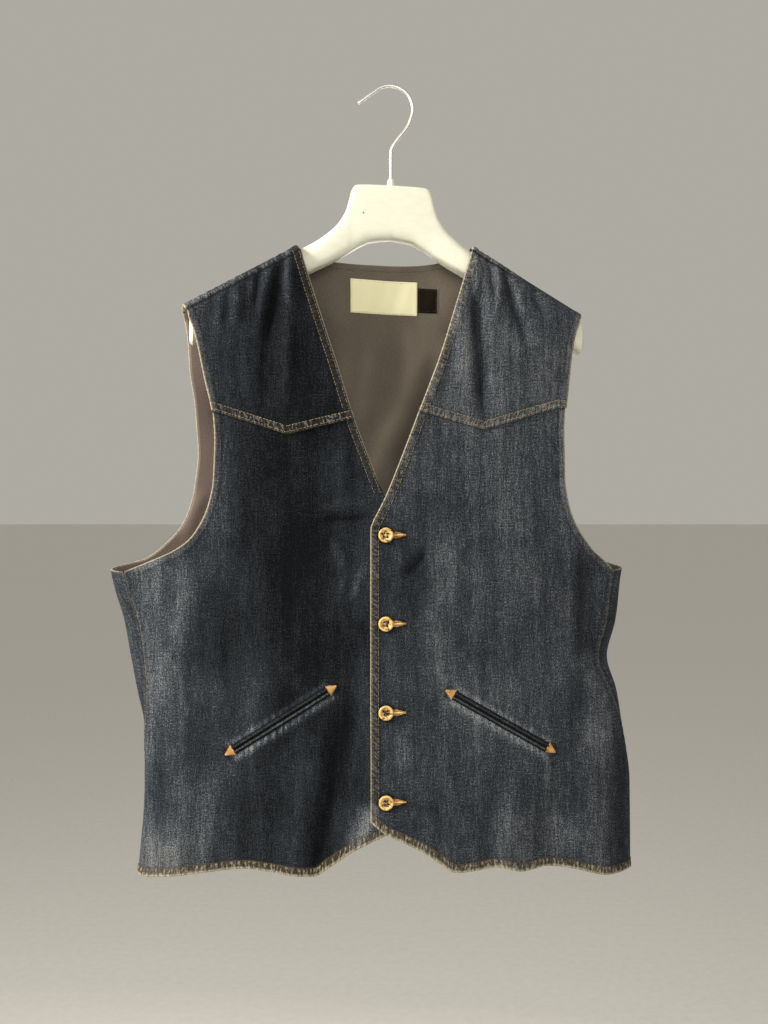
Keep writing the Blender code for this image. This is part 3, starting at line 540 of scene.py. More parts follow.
    def back_grid(self, finer: int, columns: int) -> tuple[Array, Array]:
        """Angles and drops of the back from its top edge to its hem, with columns from the wearer's left.

        Args:
            finer: Rows for each row of the solids.
            columns: Columns across the back.

        Returns:
            Two arrays of rows by columns.
        """
        cut = self.cut
        share = np.linspace(1.0, -1.0, columns)
        top = self.back_top_drop(share)
        rows = [top + self.dome_drops(finer)[:, None]]
        edges = [rows[0]]
        reach, edge, steps = top + cut.dome_drop, top + cut.dome_drop, cut.back_first_steps
        for middle_stop, edge_stop, next_steps in cut.back_stops:
            stop = middle_stop + (edge_stop - middle_stop) * share ** 2
            part_way = np.linspace(0.0, 1.0, int(steps) * finer, endpoint=False)[:, None]
            rows.append(reach + (stop - reach) * part_way)
            edges.append(edge + (edge_stop - edge) * part_way)
            reach, edge, steps = stop, np.full_like(top, edge_stop), next_steps
        drop = np.concatenate(rows + [reach[None, :]])
        edge_drop = np.concatenate(edges + [edge[None, :]])
        armhole = np.radians(table_curve(edge_drop, cut.back_armhole))
        seam = np.pi - np.radians(self.section(5, edge_drop))
        outer = np.where(edge_drop < cut.pit_drop, armhole, seam)
        hem = cut.back_hem_drop + (cut.side_hem_drop - cut.back_hem_drop) * share ** 2
        below_pit = np.maximum(drop - cut.pit_drop, 0.0) / (cut.side_hem_drop - cut.pit_drop)
        return np.pi - outer * share, drop + (hem - cut.side_hem_drop) * below_pit

    def back_top_drop(self, share: Array) -> Array:
        """Drop of the back's top edge: the neckline, then the shoulder seam.

        Args:
            share: Place across the back, from 1 at the wearer's left to -1.

        Returns:
            Array of drops.
        """
        cut = self.cut
        side, tip = np.sign(share), np.radians(cut.back_armhole[0][1])
        x = self.section(1, cut.tip[1]) * np.sin(np.abs(share) * tip) ** cut.side_power
        sway = float(self.sway(cut.tip[1]))
        neck_point = self.shoulder_drop(side * cut.neck[0] + sway)
        curve = np.minimum(x / cut.neck[0], 1.0) ** 3
        neck = cut.back_neck_drop - (cut.back_neck_drop - neck_point) * curve
        return np.where(x > cut.neck[0], self.shoulder_drop(side * x + sway), neck)


def stretch(stops: Table, finer: int) -> Array:
    """Rows of values through a list of stops.

    Args:
        stops: Values at each stop, and the steps to the next one.
        finer: Rows for each of those steps.

    Returns:
        Array of rows.
    """
    pairs = zip(stops, stops[1:])
    rows = [np.linspace(a[:-1], b[:-1], int(a[-1]) * finer, endpoint=False) for a, b in pairs]
    return np.concatenate(rows + [np.array([stops[-1][:-1]])])


def bow(line: Array, level: Array, share: Array) -> Array:
    """How far a line leaves the straight row between its own two ends."""
    away = line - level
    return away - away[0] - (away[-1] - away[0]) * share


def swapped(grid: Array) -> Array:
    """A grid with its rows and columns exchanged."""
    return np.swapaxes(grid, 0, 1)


def length_along(points: Array, axis: int) -> Array:
    """Length run along one axis of a grid of points, from 0 at its start.

    Args:
        points: The grid.
        axis: 0 to run down its columns, 1 to run along its rows.

    Returns:
        Array of lengths.
    """
    steps = np.linalg.norm(np.diff(points, axis=axis), axis=-1)
    start = np.zeros_like(np.take(steps, [0], axis=axis))
    return np.concatenate((start, np.cumsum(steps, axis=axis)), axis=axis)


def respaced(fields: Array, near: Sequence[float], far: Sequence[float], step: float) -> Array:
    """Moves the columns of a grid of fields to chosen distances along its rows.

    Args:
        fields: Rows by columns by values, of which x, y and z are the first three.
        near: Rising distances from the first column.
        far: Rising distances from the last column.
        step: Mean distance of the columns between those two stretches.

    Returns:
        The fields on the new columns.
    """
    run = length_along(fields[..., :3], 1)
    total = run[:, -1:]
    low, high = near[-1], total - far[-1]
    count = max(2, round(float(np.mean(high - low)) / step))
    between = low + (high - low) * np.linspace(0.0, 1.0, count + 1)[1:-1]
    first = np.broadcast_to(np.asarray(near), (len(run), len(near)))
    last = total - np.asarray(far)[::-1]
    places = np.concatenate((first, between, last), axis=1)
    rows = [
        [np.interp(place, along, values) for values in row.T]
        for place, along, row in zip(places, run, fields)
    ]
    return np.swapaxes(np.array(rows), 1, 2)


@dataclass(frozen=True)
class EdgeFinish:
    """How a sewn edge looks: its turned-in bulk, stitch line, puckers and wear, with painted light on its
    band, and painted shade beneath its stitch line and between its puckers.
    """

    stitch: float
    bulk: float = 0.0006
    groove: float = 0.0004
    pucker: float = 0.00035
    pitch: float = 0.0062
    worn: float = 0.8
    worn_width: float = 0.0006
    brown: float = 0.5
    # Share of the pucker ladder: paler worn crests, and painted shade in the gaps between them
    flecks: float = 0.3
    # Painted shade beneath the stitch line
    seam_shade: float = 0.35
    # Painted light on the turned band, together with its fading
    band_fade: float = 0.0
    band_lead: float = 0.0004
    band_soft: float = 0.0018
    groove_soft: float = 0.0010
    shade_away: float = 0.0008
    shade_soft: float = 0.0013


FRONT_EDGE = EdgeFinish(
    stitch=0.0078, pucker=0.00020, pitch=0.0055, worn=0.90, worn_width=0.00045, brown=0.10, flecks=0.05
)
# Copies for the front edges that face the light: more pucker ladder and more painted light on the band
LIT_FRONT_EDGE = replace(FRONT_EDGE, flecks=0.24, band_fade=0.03)
LIT_YOKE_FRONT_EDGE = replace(FRONT_EDGE, flecks=0.42, band_fade=0.10)
YOKE_EDGE = EdgeFinish(
    stitch=0.0076, pucker=0.00030, pitch=0.0058, worn=0.15, brown=0.16, flecks=0.62, band_fade=0.08
)
HEM_EDGE = EdgeFinish(
    stitch=0.0078, bulk=0.0008, pucker=0.00050, pitch=0.0076, worn=1.0, worn_width=0.0020,
    brown=0.58, flecks=0.60,
)
LAPPED_HEM_EDGE = replace(HEM_EDGE, bulk=0.0, groove=0.0, pucker=0.0)
ARMHOLE_EDGE = EdgeFinish(
    stitch=0.0060, bulk=0.0003, groove=0.0001, pucker=0.00012, worn=1.0, worn_width=0.0009,
    brown=0.1, flecks=0.05, band_fade=0.12,
)
SHOULDER_SEAM = EdgeFinish(
    stitch=0.0074, bulk=0.0012, groove=0.0014, pucker=0.00045, pitch=0.0085, worn=0.05,
    brown=0.05, flecks=0.40, seam_shade=1.3, band_fade=0.20,
)
SIDE_SEAM = EdgeFinish(
    stitch=0.0026, bulk=0.0002, groove=0.0003, pucker=0.00035, pitch=0.0090, worn=0.15, brown=0.0, flecks=0.22
)
BACK_NECK_EDGE = EdgeFinish(stitch=0.0062, bulk=0.0004, pucker=0.00020, worn=0.6, brown=0.2, flecks=0.25)

FINE_STEPS = (0.0, 0.0008, 0.0019, 0.0032, 0.0046, 0.0059, 0.0069, 0.0076, 0.0084, 0.0096, 0.0112, 0.0132)
PLAIN_STEPS = (0.0, 0.0012, 0.0030)
SHOULDER_STEPS = tuple(0.0011 * step for step in range(27))


class ClothGrid:
    """A piece of cloth as rows of points, with its distance to each of its four brims."""

    def __init__(self, fields: Array, grain: float = 0.0) -> None:
        """Keeps a grid of x, y, z, drop, distance across and x of the form, and works out what follows.

        Args:
            fields: Rows by columns by values.
            grain: Distance across of the line that the warp runs straight along.
        """
        self.points = fields[..., :3]
        self.drop = fields[..., 3]
        self.across = fields[..., 4]
        self.form_x = fields[..., 5]
        self.grain = grain
        down, side = np.gradient(self.points, axis=0), np.gradient(self.points, axis=1)
        self.normals = unit(np.cross(down, side))
        self.height = np.zeros(self.drop.shape)
        self.wear = np.zeros((*self.drop.shape, 4))
        self.wear[..., FADE_AND_LIGHT] = 0.5
        self.edge = np.zeros((*self.drop.shape, 4))
        self.edge[..., 0] = FAR_FROM_EDGE
        self.run_across = length_along(self.points, 1)
        self.run_down = length_along(self.points, 0)
        self.to = {brim: self._distance(brim) for brim in Brim}

    def _distance(self, brim: Brim) -> Array:
        """Distance of every point square to one brim.

        Args:
            brim: The brim to measure from.

        Returns:
            Array of distances.
        """
        upright = brim in (Brim.START, Brim.END)
        run, points = (self.run_across, self.points) if upright else (self.run_down.T, swapped(self.points))
        first = brim in (Brim.START, Brim.TOP)
        edge, inner = (points[:, 0], points[:, 2]) if first else (points[:, -1], points[:, -3])
        along = unit(np.gradient(edge, axis=0))
        sine = np.linalg.norm(np.cross(along, unit(inner - edge)), axis=-1)
        distance = (run if first else run[:, -1:] - run) * np.maximum(sine, LEAST_SINE)[:, None]
        return distance if upright else distance.T

    def nearest_top(self) -> Array:
        """Distance of every point to the nearest point of the top brim.

        Returns:
            Array of distances.
        """
        nearest = np.full(self.drop.shape, np.inf)
        for corner in self.points[0]:
            nearest = np.minimum(nearest, np.linalg.norm(self.points - corner, axis=-1))
        return nearest

    def along(self, brim: Brim) -> Array:
        """Length run along one brim, shaped to spread over the grid.

        Args:
            brim: The brim to run along.

        Returns:
            Array of one column or one row.
        """
        if brim is Brim.START:
            return self.run_down[:, :1]
        if brim is Brim.END:
            return self.run_down[:, -1:]
        return self.run_across[:1] if brim is Brim.TOP else self.run_across[-1:]

    def turn_edge(self, brim: Brim, finish: EdgeFinish, seed: float, share: Array | float = 1.0) -> None:
        """Gives one brim its turned-in bulk, stitch groove, puckers and wear, and paints light on its band
        and shade beneath its stitch line.

        Args:
            brim: The brim to finish.
            finish: How the edge looks.
            seed: Shifts the puckers.
            share: How much of the finish each point takes.
        """
        away = self.to[brim]
        band = 1 - ease((away - finish.stitch + finish.band_lead) / finish.band_soft)
        wave = ripple(self.along(brim) + 0.35 * away, finish.pitch, seed)
        spread = bell((away - 0.55 * finish.stitch) / (0.85 * finish.stitch))
        groove = finish.groove * bell((away - finish.stitch) / finish.groove_soft)
        self.height += share * (finish.bulk * band - groove + finish.pucker * wave * spread)
        worn = finish.worn * (1 - ease((away - 0.25 * finish.worn_width) / finish.worn_width))
        self.wear[..., WORN] = np.maximum(self.wear[..., WORN], share * worn * (0.75 + 0.25 * wave))
        # Painted light over the band, with its fading
        self.wear[..., FADE_AND_LIGHT] += share * finish.band_fade * band
        self.wear[..., BROWN] += share * finish.brown * band
        # Painted shade beneath the stitch line
        under = bell((away - finish.stitch - finish.shade_away) / finish.shade_soft)
        self.wear[..., SHADE] += share * finish.seam_shade * under
        nearness = away / finish.stitch
        facts = (nearness, self.along(brim) * 10 + 3.7 * seed, finish.flecks * share, finish.worn * share)
        facts = np.stack(np.broadcast_arrays(*facts), axis=-1)
        nearer = (nearness < self.edge[..., 0]) & (np.broadcast_to(share, nearness.shape) > 0.3)
        self.edge[nearer] = facts[nearer]

    def outer(self, wall: float) -> Array:
        """Points of the finished outer face."""
        return self.points + self.normals * (wall + self.height)[..., None]

    def line(
        self, brim: Brim, away: float, wall: float, span: Pair = (0.0, 1.0)
    ) -> tuple[Array, Array]:
        """A line on the outer face at a set distance from one brim.

        Args:
            brim: The brim that the line follows.
            away: Distance from the brim.
            wall: Thickness of the cloth.
            span: Drops that the line is kept between.

        Returns:
            Points of the line and the cloth's normals there.
        """
        values = np.concatenate((self.outer(wall), self.normals), axis=2)
        distance = self.to[brim]
        if brim in (Brim.TOP, Brim.LOW):
            values, distance = swapped(values), distance.T
        if brim in (Brim.END, Brim.LOW):
            values, distance = values[:, ::-1], distance[:, ::-1]
        rows = zip(distance, values)
        found = np.array([[np.interp(away, place, value) for value in row.T] for place, row in rows])
        kept = found[(-found[:, 2] > span[0]) & (-found[:, 2] < span[1])]
        return kept[:, :3], unit(kept[:, 3:])


class Pieces:
    """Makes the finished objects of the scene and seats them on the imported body."""

    def __init__(self) -> None:
        """Opens the collection that holds the pieces."""
        self.collection = bpy.data.collections.new("dressed_vest")
        bpy.context.scene.collection.children.link(self.collection)

    def add(
        self, name: str, vertices: Array, faces: Iterable[Sequence[int]], finishes: Sequence[Finish]
    ) -> Piece:
        """An object with a smooth mesh.

        Args:
            name: Name of the piece.
            vertices: Its points.
            faces: Its faces, as point numbers.
            finishes: Its materials.

        Returns:
            The object, at the origin.
        """
        mesh = bpy.data.meshes.new(name)
        mesh.from_pydata(np.asarray(vertices).tolist(), [], [list(map(int, face)) for face in faces])
        mesh.shade_smooth()
        for finish in finishes:
            mesh.materials.append(finish)
        made = bpy.data.objects.new(name, mesh)
        self.collection.objects.link(made)
        return made

    def shell(
        self, name: str, grid: ClothGrid, inner: Array, outer: Array, finishes: Sequence[Finish]
    ) -> Piece:
        """Closed thin shell between two grids of points, with a rounded rim.

        Args:
            name: Name of the piece.
            grid: The cloth, for its pattern coordinates and wear.
            inner: Points of the inner face.
            outer: Points of the outer face.
            finishes: Materials of the outer face and of the inner one.

        Returns:
            The object.
        """
        rows, columns = grid.drop.shape
        count = rows * columns
        number = np.arange(count).reshape(rows, columns)
        loop = np.concatenate((number[:, 0], number[-1, 1:], number[-2::-1, -1], number[0, -2:0:-1]))
        flat_inner, flat_outer = inner.reshape(-1, 3), outer.reshape(-1, 3)
        centre = self._one_step_in(grid.points)
        edge_way = unit(flat_inner[loop] - centre[loop])
        wall = np.linalg.norm(flat_outer[loop] - flat_inner[loop], axis=1, keepdims=True)
        rim = (flat_inner[loop] + flat_outer[loop]) / 2 + edge_way * wall * 0.3
        quads = np.stack((number[:-1, :-1], number[1:, :-1], number[1:, 1:], number[:-1, 1:]), axis=-1)
        front = quads.reshape(-1, 4)
        back = front[:, ::-1] + count
        after = np.roll(loop, -1)
        rim_number = 2 * count + np.arange(len(loop))
        rim_after = np.roll(rim_number, -1)
        upper = np.stack((after, loop, rim_number, rim_after), axis=-1)
        lower = np.stack((rim_after, rim_number, loop + count, after + count), axis=-1)
        faces = np.concatenate((front, upper, lower, back))
        made = self.add(name, np.concatenate((flat_outer, flat_inner, rim)), faces, finishes)
        mesh = made.data
        sides = np.zeros(len(faces), np.int32)
        sides[len(faces) - len(back):] = len(finishes) - 1
        mesh.polygons.foreach_set("material_index", sides)
        pattern = np.stack((self.pattern_across(grid), -grid.drop), axis=-1).reshape(-1, 2)
        pattern = np.concatenate((pattern, pattern, pattern[loop]))
        wear = grid.wear.reshape(-1, 4)
        wear = np.clip(np.concatenate((wear, wear, wear[loop])), 0.0, 1.0)
        corners = np.empty(len(mesh.loops), np.int32)
        mesh.loops.foreach_get("vertex_index", corners)
        mesh.uv_layers.new(name=UV_NAME).data.foreach_set("uv", pattern[corners].ravel())
        edge = grid.edge.reshape(-1, 4)
        edge = np.concatenate((edge, edge, edge[loop]))
        for paint_name, values in ((WEAR_NAME, wear), (EDGE_NAME, edge)):
            paint = mesh.color_attributes.new(paint_name, "FLOAT_COLOR", "POINT")
            paint.data.foreach_set("color", values.ravel())
        mesh.update()
        return made

    def _one_step_in(self, points: Array) -> Array:
        """For every point of a grid, the point next to it towards the grid's middle.

        Args:
            points: The grid.

        Returns:
            Array of points, one for each of the grid's.
        """
        rows, columns = points.shape[:2]
        row = np.clip(np.arange(rows), 1, rows - 2)[:, None]
        column = np.clip(np.arange(columns), 1, columns - 2)[None, :]
        return points[row, column].reshape(-1, 3)

    def pattern_across(self, grid: ClothGrid) -> Array:
        """Distance along the weft from a grain line that runs straight down the cloth.

        Args:
            grid: The cloth.

        Returns:
            Array of distances.
        """
        rows = []
        for across, run in zip(grid.across, grid.run_across):
            rising = slice(None, None, 1 if across[-1] > across[0] else -1)
            rows.append(run - np.interp(grid.grain, across[rising], run[rising]))
        return np.stack(rows)

    def seat(self, piece: Piece, slot: str, *nodes: str) -> Piece:
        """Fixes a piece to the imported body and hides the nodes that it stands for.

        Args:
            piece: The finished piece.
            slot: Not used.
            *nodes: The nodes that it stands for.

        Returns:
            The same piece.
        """
        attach(piece, BODY)
        if nodes:
            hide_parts(*nodes)
        log.info("%s: %d faces", piece.name, len(piece.data.polygons))
        return piece


@dataclass(frozen=True)
class Stitch:
    """One kind of stitch: its pitch, length and thread."""

    pitch: float = 0.0034
    length: float = 0.0027
    radius: float = 0.00036
    lift: float = 0.00012
    uneven: float = 0.12


TOP_STITCH = Stitch(radius=0.00027, length=0.0026)
HEM_STITCH = Stitch(pitch=0.0030, length=0.0025, radius=0.00030)
SEAM_STITCH = Stitch(pitch=0.0028, length=0.0022, radius=0.00024, lift=0.00004)
# First row of a double row of stitches, from the brim, and the drops that rows along a front are kept between
FIRST_ROW = 0.0019
YOKE_FIRST_ROW = 0.0017
FRONT_SPAN = (0.352, 0.80)
SHOWN_NECK_SPAN = (0.352, 0.43)
YOKE_SPAN = (0.18, 0.347)


class Sewing:
    """Collects the stitches of one thread, which are then one mesh."""

    # Place along the stitch, radius and height of each ring, as shares of its length and radius
    rings: Table = ((-0.5, 0.3, -0.75), (-0.27, 1.0, 0.15), (0.27, 1.0, 0.15), (0.5, 0.3, -0.75))
    sides: int = 5

    def __init__(self, name: str) -> None:
        """Starts with no stitches.

        Args:
            name: Name of the mesh.
        """
        self.name = name
        self.points: list[Array] = []
        turns = np.arange(self.sides) * 2 * np.pi / self.sides
        self.template = np.array([
            (place, radius * math.cos(turn), height + 0.8 * radius * math.sin(turn))
            for place, radius, height in self.rings for turn in turns
        ])
        quads = []
        for ring in range(len(self.rings) - 1):
            for side in range(self.sides):
                low, high, after = ring * self.sides, (ring + 1) * self.sides, (side + 1) % self.sides
                quads.append((low + side, low + after, high + after, high + side))
        last = (len(self.rings) - 1) * self.sides
        self.caps = [list(range(self.sides))[::-1], list(range(last, last + self.sides))]
        self.quads = quads

    def add(self, places: Array, ways: Array, normals: Array, length: Array, radius: Array) -> None:
        """Lays single stitches.

        Args:
            places: Middle of each stitch.
            ways: Unit direction of each stitch.
            normals: Unit normal of the cloth at each stitch.
            length: Length of each stitch.
            radius: Radius of its thread.
        """
        ways = unit(ways)
        normals = unit(normals - ways * np.sum(normals * ways, axis=-1, keepdims=True))
        across = np.cross(normals, ways)
        length, radius = np.broadcast_to(length, len(places)), np.broadcast_to(radius, len(places))
        shape = (
            ways[:, None] * (self.template[:, :1] * length[:, None, None])
            + across[:, None] * (self.template[:, 1:2] * radius[:, None, None])
            + normals[:, None] * (self.template[:, 2:] * radius[:, None, None])
        )
        self.points.append((places[:, None] + shape).reshape(-1, 3))

    def row(self, line: tuple[Array, Array], stitch: Stitch, seed: float = 0.0) -> None:
        """Sews a row of stitches along a line on the cloth.

        Args:
            line: Points of the line and normals there.
            stitch: Kind of stitch.
            seed: Shifts the unevenness.
        """
        points, normals = line
        if len(points) < 3:
            return
        along = length_along(points, 0)
        count = int(along[-1] / stitch.pitch)
        step = np.arange(count)
        middle = (step + 0.5 + stitch.uneven * np.sin(step * 2.7 + seed)) * stitch.pitch
        reach = stitch.length * (0.5 + 0.12 * np.sin(step * 1.9 + 2 * seed))

        def read(values: Array, at: Array) -> Array:
            """Values of the line at given lengths along it."""
            return np.stack([np.interp(at, along, value) for value in values.T], axis=-1)

        ways = read(points, middle + reach) - read(points, middle - reach)
        facing = unit(read(normals, middle))
        places = read(points, middle) + facing * stitch.lift
        self.add(places, ways, facing, 2 * reach, np.full(count, stitch.radius))

    def build(self, pieces: Pieces, finish: Finish) -> Piece:
        """Joins the stitches in one object.

        Args:
            pieces: Maker of the objects.
            finish: Look of the thread.

        Returns:
            The object.
        """
        points = np.concatenate(self.points)
        size = len(self.template)
        faces: list[Sequence[int]] = []
        for start in range(0, len(points), size):
            faces.extend([start + corner for corner in face] for face in (*self.quads, *self.caps))
        return pieces.add(self.name, points, faces, [finish])


class Value:
    """One number or colour over a surface; sums and products of numbers add Math nodes."""

    def __init__(self, graph: "Graph", socket: bpy.types.NodeSocket) -> None:
        """Keeps the socket that gives the value."""
        self.graph = graph
        self.socket = socket

    def __add__(self, other: "Value | float") -> "Value":
        """Sum."""
        return self.graph.math("ADD", self, other)

    def __radd__(self, other: float) -> "Value":
        """Sum with a number first."""
        return self.graph.math("ADD", other, self)

    def __sub__(self, other: "Value | float") -> "Value":
        """Difference."""
        return self.graph.math("SUBTRACT", self, other)

    def __rsub__(self, other: float) -> "Value":
        """Difference from a number."""
        return self.graph.math("SUBTRACT", other, self)

    def __mul__(self, other: "Value | float") -> "Value":
        """Product."""
        return self.graph.math("MULTIPLY", self, other)

    def clamped(self) -> "Value":
        """The number kept between 0 and 1."""
        return self.graph.math("ADD", self, 0.0, clamp=True)


class Graph:
    """The node graph of one finish."""

    def __init__(self, name: str) -> None:
        """Opens a material with its Principled shader.

        Args:
            name: Name of the material.
        """
        self.material = bpy.data.materials.new(name)
        self.material.use_nodes = True
        self.tree = self.material.node_tree
        self.shader = self.tree.nodes["Principled BSDF"]

    def add(self, kind: str, settings: dict[str, Any], inputs: dict[str, Any]) -> bpy.types.Node:
        """Adds a node.

        Args:
            kind: Type of the node.
            settings: Its properties, or the stops of a ramp, set first.
            inputs: Values or links of its sockets, by name.

        Returns:
            The node.
        """
        node = self.tree.nodes.new(kind)
        for name, setting in settings.items():
            if name == "stops":
                self._set_stops(node.color_ramp, setting)
            else:
                setattr(node, name, setting)
        for name, value in inputs.items():
            self.feed(node, name, value)
        return node

    def _set_stops(self, ramp: bpy.types.ColorRamp, stops: Sequence[tuple[float, Colour]]) -> None:
        """Gives a ramp its stops.

        Args:
            ramp: The ramp.
            stops: Place and colour of each stop.
        """
        while len(ramp.elements) < len(stops):
            ramp.elements.new(1.0)
        for element, (place, colour) in zip(ramp.elements, stops):
            element.position = place
            element.color = (*colour, 1.0)

    def feed(self, node: bpy.types.Node, name: str, value: Any) -> None:
        """Sets or links one input of a node, found by its identifier or its name.

        Args:
            node: The node.
            name: Identifier or name of the input.
            value: What to set or link.
        """
        found = [socket for socket in node.inputs if socket.identifier == name]
        socket = found[0] if found else node.inputs[name]
        if isinstance(value, Value):
            self.tree.links.new(value.socket, socket)
        else:
            socket.default_value = value

    def math(self, operation: str, *operands: Value | float, clamp: bool = False) -> Value:
        """A Math node on one, two or three numbers.

        Args:
            operation: Its operation.
            *operands: The numbers.
            clamp: Whether the result is kept between 0 and 1.

        Returns:
            The result.
        """
        names = ("Value", "Value_001", "Value_002")
        settings = {"operation": operation, "use_clamp": clamp}
        node = self.add("ShaderNodeMath", settings, dict(zip(names, operands)))
        return Value(self, node.outputs["Value"])

    def cloth(self, across: float, down: float, turn: float = 0.0) -> Value:
        """The cloth's own pattern coordinates, scaled along weft and warp and turned.

        Args:
            across: Scale along the weft.
            down: Scale along the warp.
            turn: Turn in the cloth's plane, in radians.

        Returns:
            The coordinates.
        """
        source = self.add("ShaderNodeUVMap", {"uv_map": UV_NAME}, {})
        inputs = {
            "Vector": Value(self, source.outputs["UV"]),
            "Scale": (across, down, 1.0),
            "Rotation": (0.0, 0.0, turn),
        }
        return Value(self, self.add("ShaderNodeMapping", {}, inputs).outputs["Vector"])

    def vector(self, x: Value, y: Value) -> Value:
        """Coordinates from two numbers."""
        return Value(self, self.add("ShaderNodeCombineXYZ", {}, {"X": x, "Y": y}).outputs["Vector"])

    def place(self, scale: tuple[float, float, float]) -> Value:
        """Object coordinates, scaled.

        Args:
            scale: Scale along each axis.

        Returns:
            The coordinates.
        """
        source = self.add("ShaderNodeTexCoord", {}, {})
        inputs = {"Vector": Value(self, source.outputs["Object"]), "Scale": scale}
        return Value(self, self.add("ShaderNodeMapping", {}, inputs).outputs["Vector"])

    def object_axes(self) -> tuple[Value, Value, Value]:
        """Object coordinates as three numbers.

        Returns:
            The x, y and z of each point.
        """
        source = self.add("ShaderNodeTexCoord", {}, {})
        parts = self.add("ShaderNodeSeparateXYZ", {}, {"Vector": Value(self, source.outputs["Object"])})
        return tuple(Value(self, parts.outputs[axis]) for axis in "XYZ")

    def noise(self, vector: Value, detail: float = 2.0, rough: float = 0.5, distortion: float = 0.0) -> Value:
        """Soft noise about 0.5.

        Args:
            vector: Coordinates that are already scaled.
            detail: Number of finer layers.
            rough: Weight of those layers.
            distortion: How far the pattern is pulled about.

        Returns:
            The noise.
        """
        inputs = {
            "Vector": vector, "Scale": 1.0, "Detail": detail, "Roughness": rough, "Distortion": distortion,
        }
        node = self.add("ShaderNodeTexNoise", {"noise_dimensions": "3D"}, inputs)
        return Value(self, node.outputs["Fac"])

    def painted(self, name: str) -> tuple[Value, Value, Value, Value]:
        """The four numbers of one painted attribute of the cloth.

        Args:
            name: Name of the attribute.

        Returns:
            Its four numbers, in their order.
        """
        paint = self.add("ShaderNodeAttribute", {"attribute_name": name}, {})
        parts = self.add("ShaderNodeSeparateColor", {}, {"Color": Value(self, paint.outputs["Color"])})
        numbers = [Value(self, parts.outputs[name]) for name in ("Red", "Green", "Blue")]
        return numbers[0], numbers[1], numbers[2], Value(self, paint.outputs["Alpha"])

    def ramp(self, share: Value, stops: Sequence[tuple[float, Colour]]) -> Value:
        """Colour read from a ramp."""
        node = self.add("ShaderNodeValToRGB", {"stops": stops}, {"Fac": share})
        return Value(self, node.outputs["Color"])

    def mix(self, share: Value, first: Value | Colour, second: Value | Colour) -> Value:
        """Mix of two colours.

        Args:
            share: Share of the second colour.
            first: Colour at 0.
            second: Colour at 1.

        Returns:
            The mixed colour.
        """
        colours = [value if isinstance(value, Value) else (*value, 1.0) for value in (first, second)]
        inputs = {"Factor_Float": share, "A_Color": colours[0], "B_Color": colours[1]}
        node = self.add("ShaderNodeMix", {"data_type": "RGBA", "clamp_factor": True}, inputs)
        return Value(self, next(s for s in node.outputs if s.identifier == "Result_Color"))

    def finish(
        self, colour: Value, roughness: Value | float, height: Value, relief: float, **constants: Any
    ) -> Finish:
        """Feeds the shader.

        Args:
            colour: Base colour.
            roughness: Roughness, a number or a value over the surface.
            height: Height of the fine relief, from 0 to 1.
            relief: Depth of that relief, in metres.
            **constants: Fixed values of other sockets, with words joined by underscores.

        Returns:
            The finished material.
        """
        bump = self.add("ShaderNodeBump", {}, {"Strength": 1.0, "Distance": relief, "Height": height})
        self.feed(self.shader, "Base Color", colour)
        self.feed(self.shader, "Roughness", roughness)
        self.feed(self.shader, "Normal", Value(self, bump.outputs["Normal"]))
        for name, value in constants.items():
            self.feed(self.shader, name.replace("_", " "), value)
        return self.material


